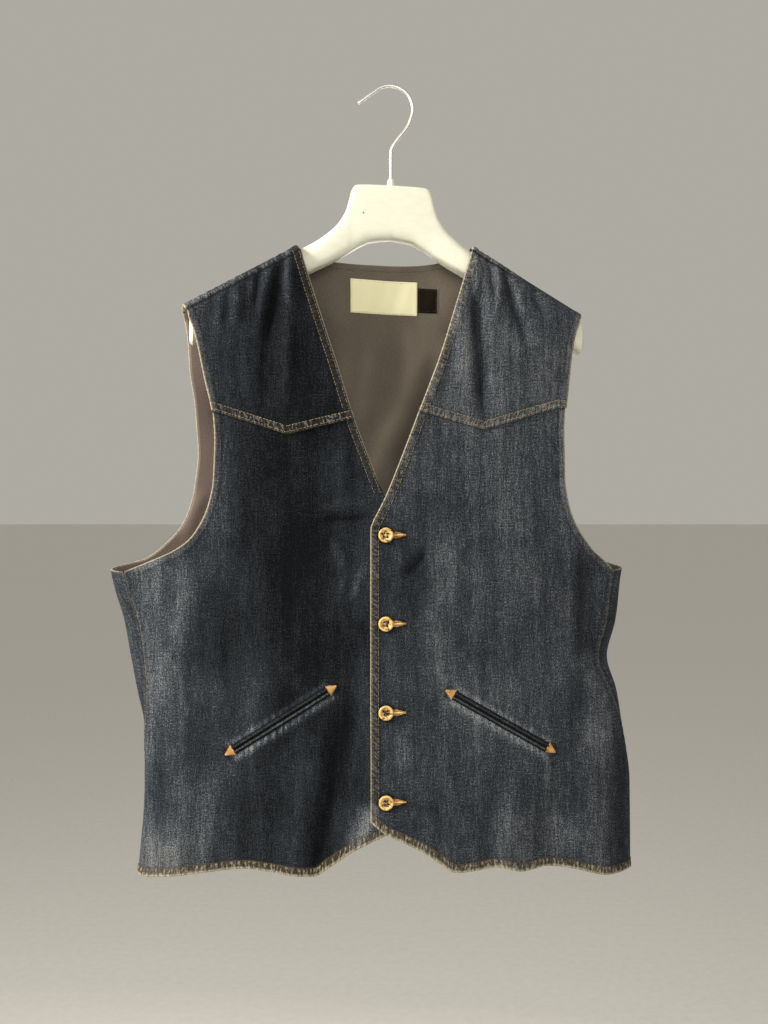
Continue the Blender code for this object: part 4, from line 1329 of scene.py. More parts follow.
@dataclass(frozen=True)
class Denim:
    """Worn twill: slubby warp, pale weft, faded ridges, cream edges and brown seam bands, with painted light
    and shade over folds and stretches, and painted shade under seams, round buttons and tacks and between
    puckers.
    """

    name: str = "worn_denim"
    dark: Colour = (0.0027, 0.0033, 0.0042)
    mid: Colour = (0.0250, 0.0296, 0.0376)
    light: Colour = (0.0905, 0.0990, 0.1135)
    pale: Colour = (0.2060, 0.2160, 0.2280)
    cream: Colour = (0.46, 0.41, 0.30)
    brown: Colour = (0.112, 0.086, 0.050)
    shadow: Colour = (0.003, 0.0035, 0.005)

    def build(self) -> Finish:
        """Makes the material.

        Returns:
            The material.
        """
        graph = Graph(self.name)
        streak = graph.noise(graph.cloth(760.0, 70.0), 1.0)
        slub = graph.noise(graph.cloth(240.0, 9.0), 1.0)
        weft = graph.noise(graph.cloth(70.0, 950.0), 1.0)
        fleck = graph.noise(graph.cloth(860.0, 590.0), 2.0, 0.7)
        cloud = graph.noise(graph.cloth(22.0, 13.0), 3.0, 0.6)
        drape = graph.noise(graph.cloth(90.0, 7.0), 1.0)
        worn, fade_and_light, brown, shade = graph.painted(WEAR_NAME)
        yarn = (streak - 0.5) * 0.55 + (slub - 0.5) * 0.18 + (weft - 0.5) * 0.35 + (fleck - 0.5) * 1.7
        yarn = yarn + (drape - 0.5) * 0.30
        # The fade-and-light paint: faded wear together with painted light and shade
        tone = 0.5 + yarn + (cloud - 0.5) * 0.55 + (fade_and_light - 0.5) * (0.65 + slub * 0.8)
        colour = graph.ramp(tone, ((0.0, self.dark), (0.5, self.mid), (0.8, self.light), (1.0, self.pale)))
        nearness, along, pucker, edge_worn = graph.painted(EDGE_NAME)
        drift = graph.noise(graph.vector(along * 9.0, nearness * 0.3), 1.0)
        rough = graph.noise(graph.vector(along * 58.0, nearness * 2.0), 1.0)
        # Pucker ladder along sewn edges: paler worn crests, and gaps that take painted shade
        ladder = graph.math("SINE", along * 100.0 + drift * 22.0) * 0.42 + (rough - 0.5) * 3.0
        inside = ((1.06 - nearness) * 7.0).clamped() * pucker
        crest, gap = ((ladder - 0.15) * 2.0).clamped(), ((-0.10 - ladder) * 2.0).clamped()
        colour = graph.mix((brown * (0.3 + fleck * 0.7)).clamped(), colour, self.brown)
        bright = graph.mix(edge_worn.clamped(), self.pale, self.cream)
        colour = graph.mix((crest * inside * (0.25 + fleck)).clamped(), colour, bright)
        ragged = (worn * (0.35 + fleck * 1.1)).clamped()
        colour = graph.mix(ragged, colour, self.cream)
        # Painted shade: beneath seams, round buttons and tacks, and in the gaps between puckers
        dark = shade * 0.9 + gap * inside * 0.8
        colour = graph.mix(dark.clamped(), colour, self.shadow)
        height = streak * 0.4 + weft * 0.3 + fleck * 0.5 + (crest - gap) * inside * 0.8
        roughness = 0.98 - fleck * 0.2
        return graph.finish(
            colour, roughness, height, 0.0005,
            Specular_IOR_Level=0.06, Sheen_Weight=0.02, Sheen_Roughness=0.5,
        )


@dataclass(frozen=True)
class Lining:
    """Smooth warm grey lining cloth, with painted light and shade and a painted pinkish light where it is lit
    through the armhole.
    """

    name: str = "grey_lining"
    low: Colour = (0.064, 0.052, 0.040)
    high: Colour = (0.290, 0.240, 0.192)
    pink: Colour = (0.215, 0.150, 0.135)
    smudge: Colour = (0.020, 0.018, 0.018)

    def build(self) -> Finish:
        """Makes the material.

        Returns:
            The material.
        """
        graph = Graph(self.name)
        rib = graph.noise(graph.cloth(420.0, 900.0, 0.5), 1.0)
        cloud = graph.noise(graph.cloth(22.0, 14.0, 0.4), 2.0)
        _, fade_and_light, lit_flush, shade = graph.painted(WEAR_NAME)
        tone = (0.25 + (rib - 0.5) * 0.45 + (cloud - 0.5) * 0.4 + (fade_and_light - 0.5)).clamped()
        colour = graph.ramp(tone, ((0.0, self.low), (1.0, self.high)))
        # Painted pinkish light where the lining is lit through the armhole
        colour = graph.mix((lit_flush * (0.3 + cloud)).clamped(), colour, self.pink)
        colour = graph.mix((shade * 0.8).clamped(), colour, self.smudge)
        return graph.finish(
            colour, 0.62 + rib * 0.2, rib, 0.0002, Specular_IOR_Level=0.35, Sheen_Weight=0.15,
        )


@dataclass(frozen=True)
class Thread:
    """Twisted sewing thread."""

    name: str
    low: Colour
    high: Colour

    def build(self) -> Finish:
        """Makes the material.

        Returns:
            The material.
        """
        graph = Graph(self.name)
        dye = graph.noise(graph.place((120.0, 120.0, 120.0)), 2.0)
        twist = graph.noise(graph.place((2600.0, 2600.0, 2600.0)), 0.0)
        tone = (0.5 + (dye - 0.5) * 1.6 + (twist - 0.5) * 1.0).clamped()
        colour = graph.ramp(tone, ((0.0, self.low), (1.0, self.high)))
        roughness = 0.7 + twist * 0.2
        return graph.finish(colour, roughness, twist, 0.0001, Specular_IOR_Level=0.3, Sheen_Weight=0.1)


@dataclass(frozen=True)
class Horn:
    """Polished cream button with brown marbling."""

    name: str = "marbled_horn"
    pale: Colour = (0.72, 0.48, 0.155)
    mid: Colour = (0.36, 0.190, 0.045)
    dark: Colour = (0.030, 0.011, 0.003)

    def build(self) -> Finish:
        """Makes the material.

        Returns:
            The material.
        """
        graph = Graph(self.name)
        vein = graph.noise(graph.place((150.0, 40.0, 230.0)), 3.0, 0.6, 1.6)
        grain = graph.noise(graph.place((900.0, 300.0, 900.0)), 1.0)
        from_centre, _, _, _ = graph.painted(WEAR_NAME)
        tone = (0.50 + (vein - 0.5) * 3.3 + (grain - 0.5) * 0.5 + (from_centre - 0.60) * 0.7).clamped()
        stops = ((0.12, self.dark), (0.38, self.mid), (0.66, self.pale), (1.0, self.pale))
        colour = graph.ramp(tone, stops)
        roughness = 0.22 + grain * 0.2
        return graph.finish(colour, roughness, grain, 0.00006, Specular_IOR_Level=0.5, Coat_Weight=0.25)


@dataclass(frozen=True)
class WovenLabel:
    """Fine ribbed label cloth."""

    name: str
    low: Colour
    high: Colour

    def build(self) -> Finish:
        """Makes the material.

        Returns:
            The material.
        """
        graph = Graph(self.name)
        rib = graph.noise(graph.cloth(240.0, 2600.0), 1.0)
        cross = graph.noise(graph.cloth(2600.0, 240.0), 1.0)
        soil = graph.noise(graph.cloth(60.0, 60.0), 2.0)
        tone = (0.55 + (rib - 0.5) * 0.8 + (cross - 0.5) * 0.6 + (soil - 0.5) * 0.8).clamped()
        colour = graph.ramp(tone, ((0.0, self.low), (1.0, self.high)))
        roughness, height = 0.75 + rib * 0.2, rib * 0.6 + cross * 0.4
        return graph.finish(colour, roughness, height, 0.00012, Specular_IOR_Level=0.15)


@dataclass(frozen=True)
class Plastic:
    """Moulded hanger plastic, a little scuffed, with one dark speck on its face."""

    name: str = "white_plastic"
    speck: Pair = (-0.0285, -0.1365)
    speck_size: float = 0.0009
    dirt: Colour = (0.05, 0.04, 0.03)
    low: Colour = (0.63, 0.61, 0.50)
    high: Colour = (0.76, 0.755, 0.65)

    def build(self) -> Finish:
        """Makes the material.

        Returns:
            The material.
        """
        graph = Graph(self.name)
        scuff = graph.noise(graph.place((60.0, 220.0, 180.0)), 3.0, 0.6)
        pores = graph.noise(graph.place((1500.0, 1500.0, 1500.0)), 1.0)
        tone = (0.75 + (scuff - 0.5) * 1.1).clamped()
        colour = graph.ramp(tone, ((0.0, self.low), (1.0, self.high)))
        x, y, z = graph.object_axes()
        aside = (x - self.speck[0]) * (1 / self.speck_size)
        above = (z - self.speck[1]) * (1 / self.speck_size)
        on_speck = (1.5 - aside * aside - above * above).clamped() * (y * -400.0).clamped()
        colour = graph.mix(on_speck, colour, self.dirt)
        roughness, height = 0.30 + scuff * 0.22, pores * 0.5 + scuff
        return graph.finish(colour, roughness, height, 0.00012, Specular_IOR_Level=0.5)


@dataclass(frozen=True)
class Steel:
    """Drawn steel wire."""

    name: str = "drawn_steel"
    low: Colour = (0.60, 0.59, 0.56)
    high: Colour = (0.88, 0.87, 0.84)

    def build(self) -> Finish:
        """Makes the material.

        Returns:
            The material.
        """
        graph = Graph(self.name)
        draw = graph.noise(graph.place((900.0, 900.0, 120.0)), 2.0)
        dull = graph.noise(graph.place((90.0, 90.0, 90.0)), 2.0)
        tone = (0.6 + (draw - 0.5) * 0.8 + (dull - 0.5) * 1.0).clamped()
        colour = graph.ramp(tone, ((0.0, self.low), (1.0, self.high)))
        return graph.finish(colour, 0.34 + dull * 0.2, draw, 0.00002, Metallic=1.0)


@dataclass(frozen=True)
class StudioPaper:
    """Plain pale paper of the floor."""

    name: str = "pale_paper"
    low: Colour = (0.77, 0.76, 0.73)
    high: Colour = (0.81, 0.80, 0.77)

    def build(self) -> Finish:
        """Makes the material.

        Returns:
            The material.
        """
        graph = Graph(self.name)
        fibre = graph.noise(graph.place((40.0, 40.0, 40.0)), 2.0)
        colour = graph.ramp(fibre, ((0.3, self.low), (0.7, self.high)))
        return graph.finish(colour, 0.9, fibre, 0.0002, Specular_IOR_Level=0.02)


OUTER_STEPS = tuple(step + 0.0006 for step in FINE_STEPS)
FRONT_GRAIN = 0.150


def search_tree(piece: Piece) -> BVHTree:
    """Search tree over a finished piece."""
    bpy.context.view_layer.update()
    return BVHTree.FromObject(piece, bpy.context.evaluated_depsgraph_get())


def met_cloth(tree: BVHTree, x: float, drop: float, from_y: float) -> tuple[Vector, Vector]:
    """Point and normal where a ray along Y first meets a piece.

    Args:
        tree: Search tree of the piece.
        x: Place of the ray.
        drop: Drop of the ray.
        from_y: Where the ray starts.

    Returns:
        The point and the normal.
    """
    way = Vector((0.0, -math.copysign(1.0, from_y), 0.0))
    place, normal, _, _ = tree.ray_cast(Vector((x, from_y, -drop)), way)
    if place is None:
        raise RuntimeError(f"no cloth at x {x:.3f}, drop {drop:.3f}")
    return place, normal


def laid_fields(tree: BVHTree, xs: Array, drops: Array, from_y: float, clearance: float) -> Array:
    """Grid fields of points moved off a piece, under x and drop values seen along Y.

    Args:
        tree: Search tree of the piece.
        xs: The x of each point.
        drops: Drop of each point.
        from_y: Where the search starts.
        clearance: How far the points stand off.

    Returns:
        Fields, as a cloth grid takes them.
    """
    fields = np.empty((*xs.shape, 6))
    for index in np.ndindex(xs.shape):
        place, normal = met_cloth(tree, xs[index], drops[index], from_y)
        fields[index][:3] = place + normal * clearance
    fields[..., 3] = drops
    fields[..., 4] = fields[..., 5] = xs
    return fields


@dataclass(frozen=True)
class PocketCut:
    """Slanted double-welt pockets, from the inner tack to the outer one."""

    inner: Pair = (0.0610, 0.6295)
    outer: Pair = (0.1630, 0.6906)
    tilt: float = 0.0025
    lip_width: float = 0.0027
    lip_gap: float = 0.0021
    lip_crown: float = 0.0012
    tack_clear: float = 0.0042
    tack_radius: float = 0.0066
    # Half width of the near-black strip, which reaches past the lips as painted shadow lines
    mouth_half: float = 0.0049
    press: float = 0.0006
    press_half: float = 0.0050
    pucker: float = 0.00035
    pucker_away: float = 0.0095
    # Share, distance and width of the faded fuzz below and above the lips, and its gain on the right
    fuzz: Table = ((0.44, 0.0078, 0.0042), (0.34, -0.0070, 0.0028))
    right_fuzz: float = 1.75
    # Share, radius and width of the painted shadow ring round each tack
    tack_ring: tuple[float, float, float] = (0.55, 0.0064, 0.0022)

    def frame(self, side: Side) -> tuple[Array, Array, Array, float]:
        """Where a pocket lies on its front.

        Args:
            side: The wearer's side.

        Returns:
            Inner end, way along, way across and length, as x and drop.
        """
        inner = np.array((side.value * self.inner[0], self.inner[1] + side.value * self.tilt))
        outer = np.array((side.value * self.outer[0], self.outer[1]))
        length = float(np.linalg.norm(outer - inner))
        along = (outer - inner) / length
        across = np.array((-along[1], along[0])) * side.value
        return inner, along, across, length


@dataclass(frozen=True)
class ButtonCut:
    """Places and sizes of the buttons and buttonholes."""

    count: int = 4
    top_drop: float = 0.4706
    spacing: float = 0.0901
    radius: float = 0.0076
    hole_start: float = 0.0040
    hole_end: float = 0.0207
    hole_half: float = 0.0030
    # Share, radius, half height and reach of the painted shadow round each button and along its buttonhole
    soil: float = 0.85
    soil_radius: float = 0.0080
    soil_half: float = 0.0026
    soil_end: float = 0.0225


@dataclass
class Vest:
    """Fronts, yokes, back and lining, with the sewing along their edges."""

    form: VestForm
    pieces: Pieces
    finishes: dict[Look, Finish]
    threads: dict[Look, Sewing]
    pocket: PocketCut
    button: ButtonCut
    finer: int = 6
    dense_columns: int = 260
    column_step: float = 0.0018
    row_step: float = 0.0023
    back_step: float = 0.0034
    lining_step: float = 0.0044
    # Gain of the fold paint: ridges lighter as faded wear and painted light, troughs darker as painted shade
    ridge_fade: float = 35.0
    pit_blend: float = 0.008
    # Where the yoke's lap, the other front's neck and the other front's hem stop covering a front
    lap_clear: float = 0.0112
    neck_cover_drop: float = 0.405
    hem_cover: float = 0.0150
    # Start of the hem's stitches from the middle, on the overlapping and the covered front
    hem_stitch_start: Pair = (-0.03, 0.0140)
    # Brown corner of the covered front's hem: where it starts, and its share
    brown_corner: Pair = (0.185, 0.22)
    # Depth of the left shoulder seam, and where it begins to run flat
    left_seam: Pair = (0.9, 0.11)
    lining_wrinkle: float = 1.3
    # Gain of the painted light and shade on the lining's wrinkles, and share of the painted pinkish light in
    # its armhole
    lining_fade: float = 110.0
    lining_flush: float = 0.7
    lining_stitch: float = 0.0052
    # x and drop of one dark smudge on the lining
    smudge: Pair = (-0.184, 0.344)
    # Painted light (above 0) and painted shade on the fronts, with faded cloth in some of the lighter
    # stretches, laid out as the folds are, with a share for the rise
    fades: Table = (
        # Whole stretches of the right front and yoke, then of the left, in painted light and shade
        (-95, -250, -95, 1200, 80, -0.44), (-120, 580, -120, 1050, 70, 0.15),
        (-55, 340, -62, 455, 11, 0.09), (-40, 375, -46, 430, 5, -0.06), (-127, 440, -139, 720, 15, 0.2),
        (-162, 320, -172, 520, 10, 0.1), (-232, 400, -240, 720, 30, 0.08), (-248, 480, -248, 900, 14, 0.1),
        (-235, 740, -235, 900, 30, 0.08), (-260, 776.7, -140, 783.7, 16, 0.03),
        (-178, 690, -184, 800, 13, 0.06), (-206, 640, -214, 780, 14, -0.06), (-12, 735, -34, 800, 13, 0.55),
        (-30, 545, -22, 600, 10, -0.08), (100, -150, 100, 470, 75, 0.13), (110, 300, 110, 1100, 100, 0.02),
        (18, 470, 20, 720, 14, -0.05), (50, 460, 53, 710, 13, 0.07), (172, 690, 180, 950, 15, 0.13),
        (152, 690, 130, 775, 10, -0.09), (122, 740, 128, 950, 13, -0.09), (186, 755, 186, 800, 12, 0.1),
        (244, 560, 246, 1050, 12, -0.16),
        # Smaller patches of painted light and shade, and of fading
        (-230, 690, -225.2, 800, 16, -0.16), (-194.8, 620, -194.8, 745, 14, -0.13),
        (-164.5, 680, -160, 900, 14, 0.12), (-170, 500, -164, 640, 13, -0.13),
        (-134.2, 570, -134.2, 670, 13, 0.06), (-103.9, 565, -103.9, 640, 13, 0.13),
        (-43.3, 620, -50, 760, 16, -0.12), (-74, 640, -74, 710, 12, -0.1), (47.6, 560, 47.6, 640, 14, 0.12),
        (17.3, 655, 17.3, 715, 11, 0.16), (199.2, 555, 199.2, 680, 14, -0.13),
        (77.9, 655, 77.9, 860, 15, -0.1), (108.2, 690, 108.2, 760, 13, -0.09),
        (170, 720, 170, 860, 14, 0.1),
        # Painted highlights and shade along creases and pleats
        (-80, 457, -10, 452.5, 4.5, -0.1), (-77, 443, -14, 439, 5, 0.06), (-58, 468, -42, 515, 5, 0.15),
        (-42, 508, -52, 545, 5, 0.12), (-20, 495, -40, 545, 4, 0.15), (-103.2, 165, -104, 250, 3, 0.24),
        (-104, 235, -108.5, 345, 5, 0.08), (-107.3, 185, -125.3, 285, 5, -0.13),
        (-124, 245, -134, 370, 5.5, -0.13), (-98.5, 240, -103.5, 360, 5, -0.09),
        (-120.5, 180, -140, 285, 5.5, 0.16), (-132, 195, -141.5, 250, 3.5, -0.09),
        (-145.5, 195, -152, 255, 4, 0.12), (-149.4, 262, -149.4, 338, 5, 0.08),
        (-195, 250, -95, 193, 10, 0.1), (88, 190, 98, 365, 6, -0.08), (77, 230, 79, 380, 13, 0.08),
        (41, 486, 15, 517, 5, -0.12), (19, 515, 24, 552, 8, -0.06), (-2, 735.5, 60, 757, 5.5, -0.09),
        (34, 755, 24, 785, 5, -0.08),
    )
    # Lit and shaded stretches of the lining
    lining_fades: Table = (
        (-86, 150, -4, 490, 13, -0.16), (60, 100, 60, 420, 60, 0.08), (0, 360, 0, 560, 60, -0.1),
    )
    panels: dict[str, Piece] = field(default_factory=dict)

    def build(self) -> None:
        """Makes all the cloth."""
        for side in Side:
            panel, yoke = self._front_fields(side)
            self._front(side, panel)
            self._yoke(side, yoke)
        self._back()
        self._lining()

    def _front_fields(self, side: Side) -> tuple[Array, Array]:
        """Dense fields of a front panel and of the yoke that laps over its top.

        Args:
            side: The wearer's side.

        Returns:
            Fields of the panel and of the yoke.
        """
        form, cut = self.form, self.form.cut
        order = slice(None, None, side.value)
        angle, drop, from_closure = (
            values[:, order] for values in form.front_grid(side, self.finer, self.dense_columns)
        )
        points = form.points(angle, drop)
        normals = unit(np.cross(np.gradient(points, axis=0), np.gradient(points, axis=1)))
        if side is Side.LEFT:
            points = points + normals * form.closure_lift(from_closure)[..., None]
        lap_row, edge_row, _, _ = form.front_rows()
        row = np.arange(len(drop))[:, None] / self.finer
        lift = (cut.denim + cut.seam) * np.interp(row, (lap_row - 1, lap_row), (0.0, 1.0))
        facts = np.stack((drop, from_closure, form.across(angle, drop)), axis=-1)
        panel = np.concatenate((points, facts), axis=-1)
        yoke = np.concatenate((points + normals * lift[..., None], facts), axis=-1)
        return panel[lap_row * self.finer:], yoke[: edge_row * self.finer + 1]

    def _spaced(
        self, fields: Array, brims: dict[Brim, Sequence[float]], columns: float, rows: float
    ) -> Array:
        """Fields respaced both ways, with close steps along the given brims."""
        fields = respaced(fields, brims[Brim.START], brims[Brim.END], columns)
        return swapped(respaced(swapped(fields), brims[Brim.TOP], brims[Brim.LOW], rows))

    def _fade_folds(self, grid: ClothGrid, folds: Table, fades: Table) -> None:
        """Paints the ridges lighter, as faded wear and painted light, and the troughs darker as painted
        shade, and adds the listed stretches of painted light and shade.

        Args:
            grid: The cloth.
            folds: Its folds.
            fades: Its stretches of painted light and shade, and of faded cloth.
        """
        rise = MM * self.form.fold_rise(folds, grid.form_x, grid.drop)
        painted = self.form.fold_rise(fades, grid.form_x, grid.drop)
        grid.wear[..., FADE_AND_LIGHT] = 0.5 + np.clip(rise * self.ridge_fade, -0.15, 0.13) + painted

    def _beside_armhole(self, grid: ClothGrid) -> Array:
        """1 beside the armhole, going over to 0 along the side seam below it."""
        return 1 - ease((grid.drop - self.form.cut.pit_drop + self.pit_blend / 2) / self.pit_blend)

    def _make_panel(self, name: str, grid: ClothGrid) -> None:
        """Makes one panel of denim and seats it.

        Args:
            name: Name of the panel's node.
            grid: Its finished cloth.
        """
        finishes = [self.finishes[Look.DENIM], self.finishes[Look.REVERSE]]
        outer = grid.outer(self.form.cut.denim)
        made = self.pieces.shell(f"{name}_cloth", grid, grid.points, outer, finishes)
        self.panels[name] = self.pieces.seat(made, "denim", name)
        self._declare(grid)

    def _declare(self, grid: ClothGrid) -> None:
        """Measures the steps of a hung sheet across and down, and keeps nothing of them.

        Args:
            grid: Its cloth.
        """
        steps_down = np.linalg.norm(np.diff(grid.points, axis=0), axis=-1)
        steps_over = np.linalg.norm(np.diff(grid.points, axis=1), axis=-1)

    def _front(self, side: Side, fields: Array) -> None:
        """One front panel.

        Args:
            side: The wearer's side.
            fields: Dense fields of the panel.
        """
        cut = self.form.cut
        left = side is Side.LEFT
        inner, outer = (Brim.START, Brim.END) if left else (Brim.END, Brim.START)
        brims = {inner: FINE_STEPS, outer: OUTER_STEPS, Brim.TOP: PLAIN_STEPS, Brim.LOW: FINE_STEPS}
        grid = ClothGrid(self._spaced(fields, brims, self.column_step, self.row_step), FRONT_GRAIN)
        self._fade_folds(grid, self.form.folds.front, self.fades)
        clear = ease((grid.to[Brim.TOP] - self.lap_clear) / 0.003)
        armhole = self._beside_armhole(grid)
        showing = 1.0 if left else 1 - ease((grid.drop - self.neck_cover_drop) / 0.02)
        hem = 1.0 if left else ease((grid.across - self.hem_cover) / 0.003)
        grid.turn_edge(inner, LIT_FRONT_EDGE if left else FRONT_EDGE, 1.0 + side.value, clear * showing)
        grid.turn_edge(outer, ARMHOLE_EDGE, 4.0 + side.value, clear * armhole)
        grid.turn_edge(outer, SIDE_SEAM, 7.0 + side.value, 1 - armhole)
        grid.turn_edge(Brim.LOW, HEM_EDGE, 10.0 + side.value, hem)
        if not left:
            lapped = ease((grid.across + 0.003) / 0.002) * (1 - hem)
            grid.turn_edge(Brim.LOW, LAPPED_HEM_EDGE, 10.0 + side.value, lapped)
            start, share = self.brown_corner
            corner = bell((grid.to[Brim.LOW] - 0.006) / 0.020) * ease((grid.across - start) / 0.035)
            grid.wear[..., BROWN] += share * corner
        self._press_pocket(grid, side)
        if left:
            self._shade_buttons(grid)
        self._make_panel(f"front_{side.word}", grid)
        span = FRONT_SPAN if left else SHOWN_NECK_SPAN
        for number, away in enumerate((FIRST_ROW, FRONT_EDGE.stitch)):
            self.threads[Look.LIGHT].row(grid.line(inner, away, cut.denim, span), TOP_STITCH, 1.3 * number)
        points, normals = grid.line(Brim.LOW, HEM_EDGE.stitch, cut.denim)
        shown = points[:, 0] * side.value > self.hem_stitch_start[0 if left else 1]
        self.threads[Look.BROWN].row((points[shown], normals[shown]), HEM_STITCH, 2.0)

    def _shade_buttons(self, grid: ClothGrid) -> None:
        """Paints shadow on the cloth round the buttons and along their buttonholes.

        Args:
            grid: Cloth of the overlapping front.
        """
        for number in range(self.button.count):
            drop = self.button.top_drop + self.button.spacing * number
            x, below = grid.points[..., 0] - self.form.button_x(drop), -grid.points[..., 2] - drop
            round_button = 1 - ease((np.hypot(x, below) - self.button.soil_radius) / 0.0030)
            along_hole = ease(x / 0.004) * ease((self.button.soil_end - x) / 0.004)
            round_hole = (1 - ease((np.abs(below) - self.button.soil_half) / 0.0024)) * along_hole
            grid.wear[..., SHADE] += self.button.soil * np.maximum(round_button, round_hole)

    def _press_pocket(self, grid: ClothGrid, side: Side) -> None:
        """Presses the cloth under the pocket's lips, puckers and wears it around them, and paints shadow
        round its tacks.

        Args:
            grid: Cloth of the front.
            side: The wearer's side.
        """
        cut = self.pocket
        inner, along, across, length = cut.frame(side)
        x, drop = grid.points[..., 0] - inner[0], -grid.points[..., 2] - inner[1]
        run, off = x * along[0] + drop * along[1], x * across[0] + drop * across[1]
        inside = ease((run + 0.004) / 0.006) * ease((length + 0.004 - run) / 0.006)
        wave = ripple(run, 0.0085, 3.0 * side.value)
        grid.height -= cut.press * bell(off / cut.press_half) * inside
        grid.height += cut.pucker * wave * bell((np.abs(off) - cut.pucker_away) / 0.006) * inside
        fuzz = sum(share * bell((off - away) / width) for share, away, width in cut.fuzz)
        fuzz = fuzz if side is Side.LEFT else cut.right_fuzz * fuzz
        uneven = 0.60 + 0.40 * ripple(x, 0.0067, 1.0 + side.value)
        grid.wear[..., FADE_AND_LIGHT] += fuzz * uneven * inside
        # Painted shadow round each tack
        share, radius, width = cut.tack_ring
        for end in (0.0, length):
            grid.wear[..., SHADE] += share * bell((np.hypot(run - end, off) - radius) / width)

    def _yoke(self, side: Side, fields: Array) -> None:
        """One pointed yoke, which laps over the top of its front panel.

        Args:
            side: The wearer's side.
            fields: Dense fields of the yoke.
        """
        cut = self.form.cut
        left = side is Side.LEFT
        inner, outer = (Brim.START, Brim.END) if left else (Brim.END, Brim.START)
        brims = {inner: FINE_STEPS, outer: FINE_STEPS, Brim.TOP: SHOULDER_STEPS, Brim.LOW: FINE_STEPS}
        grid = ClothGrid(self._spaced(fields, brims, self.column_step, self.row_step), FRONT_GRAIN)
        self._fade_folds(grid, self.form.folds.front, self.fades)
        grid.turn_edge(inner, LIT_YOKE_FRONT_EDGE if left else FRONT_EDGE, 13.0 + side.value)
        grid.turn_edge(outer, ARMHOLE_EDGE, 16.0 + side.value)
        grid.turn_edge(Brim.LOW, YOKE_EDGE, 19.0 + side.value)
        grid.to[Brim.TOP] = grid.drop - self.form.shoulder_drop(grid.form_x + self.form.sway(grid.drop))
        depth, flat = self.left_seam
        seam_depth = depth * (1 - ease((grid.across - flat) / 0.05)) if left else 1.0
        grid.turn_edge(Brim.TOP, SHOULDER_SEAM, 22.0 + side.value, seam_depth)
        self._make_panel(f"yoke_{side.word}", grid)
        for number, away in enumerate((FIRST_ROW, FRONT_EDGE.stitch)):
            line = grid.line(inner, away, cut.denim, YOKE_SPAN)
            self.threads[Look.LIGHT].row(line, TOP_STITCH, 1.7 * number)
        for number, away in enumerate((YOKE_FIRST_ROW, YOKE_EDGE.stitch)):
            self.threads[Look.GOLD].row(grid.line(Brim.LOW, away, cut.denim), TOP_STITCH, 2.3 * number)

    def _back_fields(self) -> Array:
        """Dense fields of the back.

        Returns:
            Fields, as a cloth grid takes them.
        """
        angle, drop = self.form.back_grid(self.finer, self.dense_columns + 1)
        x = self.form.across(angle, drop)
        return np.concatenate((self.form.points(angle, drop), np.stack((drop, x, x), axis=-1)), axis=-1)

    def _back(self) -> None:
        """The back panel."""
        cut = self.form.cut
        brims = {Brim.START: OUTER_STEPS, Brim.END: OUTER_STEPS, Brim.TOP: OUTER_STEPS, Brim.LOW: FINE_STEPS}
        grid = ClothGrid(self._spaced(self._back_fields(), brims, self.back_step, self.back_step))
        grid.to[Brim.TOP] = grid.nearest_top()
        self._fade_folds(grid, self.form.folds.back, ())
        armhole = self._beside_armhole(grid)
        shoulder = ease((np.abs(grid.across) - cut.neck[0]) / 0.006)
        for number, brim in enumerate((Brim.START, Brim.END)):
            grid.turn_edge(brim, ARMHOLE_EDGE, 25.0 + number, armhole)
            grid.turn_edge(brim, SIDE_SEAM, 28.0 + number, 1 - armhole)
        grid.turn_edge(Brim.TOP, SHOULDER_SEAM, 31.0, shoulder)
        grid.turn_edge(Brim.TOP, BACK_NECK_EDGE, 32.0, 1 - shoulder)
        grid.turn_edge(Brim.LOW, HEM_EDGE, 34.0)
        self._make_panel("back", grid)
        points, normals = grid.line(Brim.TOP, BACK_NECK_EDGE.stitch, cut.denim)
        neck = np.abs(points[:, 0]) < cut.neck[0]
        self.threads[Look.LIGHT].row((points[neck], normals[neck]), TOP_STITCH, 3.0)
        self.threads[Look.BROWN].row(grid.line(Brim.LOW, HEM_EDGE.stitch, cut.denim), HEM_STITCH, 4.0)

    def _lining(self) -> None:
        """The lining inside the back, wrinkled towards the inside."""
        cut = self.form.cut
        columns = self.dense_columns + 1
        kept = np.abs(np.linspace(1.0, -1.0, columns)) <= cut.lining_inset
        fields = self._back_fields()[self.finer: -self.finer, kept]
        brims = dict.fromkeys(Brim, PLAIN_STEPS)
        grid = ClothGrid(self._spaced(fields, brims, self.lining_step, self.lining_step))
        wrinkles = MM * self.form.fold_rise(self.form.folds.lining, grid.form_x, grid.drop)
        hem = 0.0012 * bell((grid.to[Brim.TOP] - 0.002) / 0.003) * ripple(grid.along(Brim.TOP), 0.016, 2.0)
        grid.height = -self.lining_wrinkle * wrinkles - np.clip(hem, 0.0, 1.0) * (np.abs(grid.form_x) < 0.08)
        shaded = self.form.fold_rise(self.lining_fades, grid.form_x, grid.drop)
        # Painted light on the wrinkles' crests, painted shade in their troughs, and the listed lit and shaded
        # stretches
        grid.wear[..., FADE_AND_LIGHT] = 0.5 + np.clip(wrinkles * self.lining_fade, -0.12, 0.25) + shaded
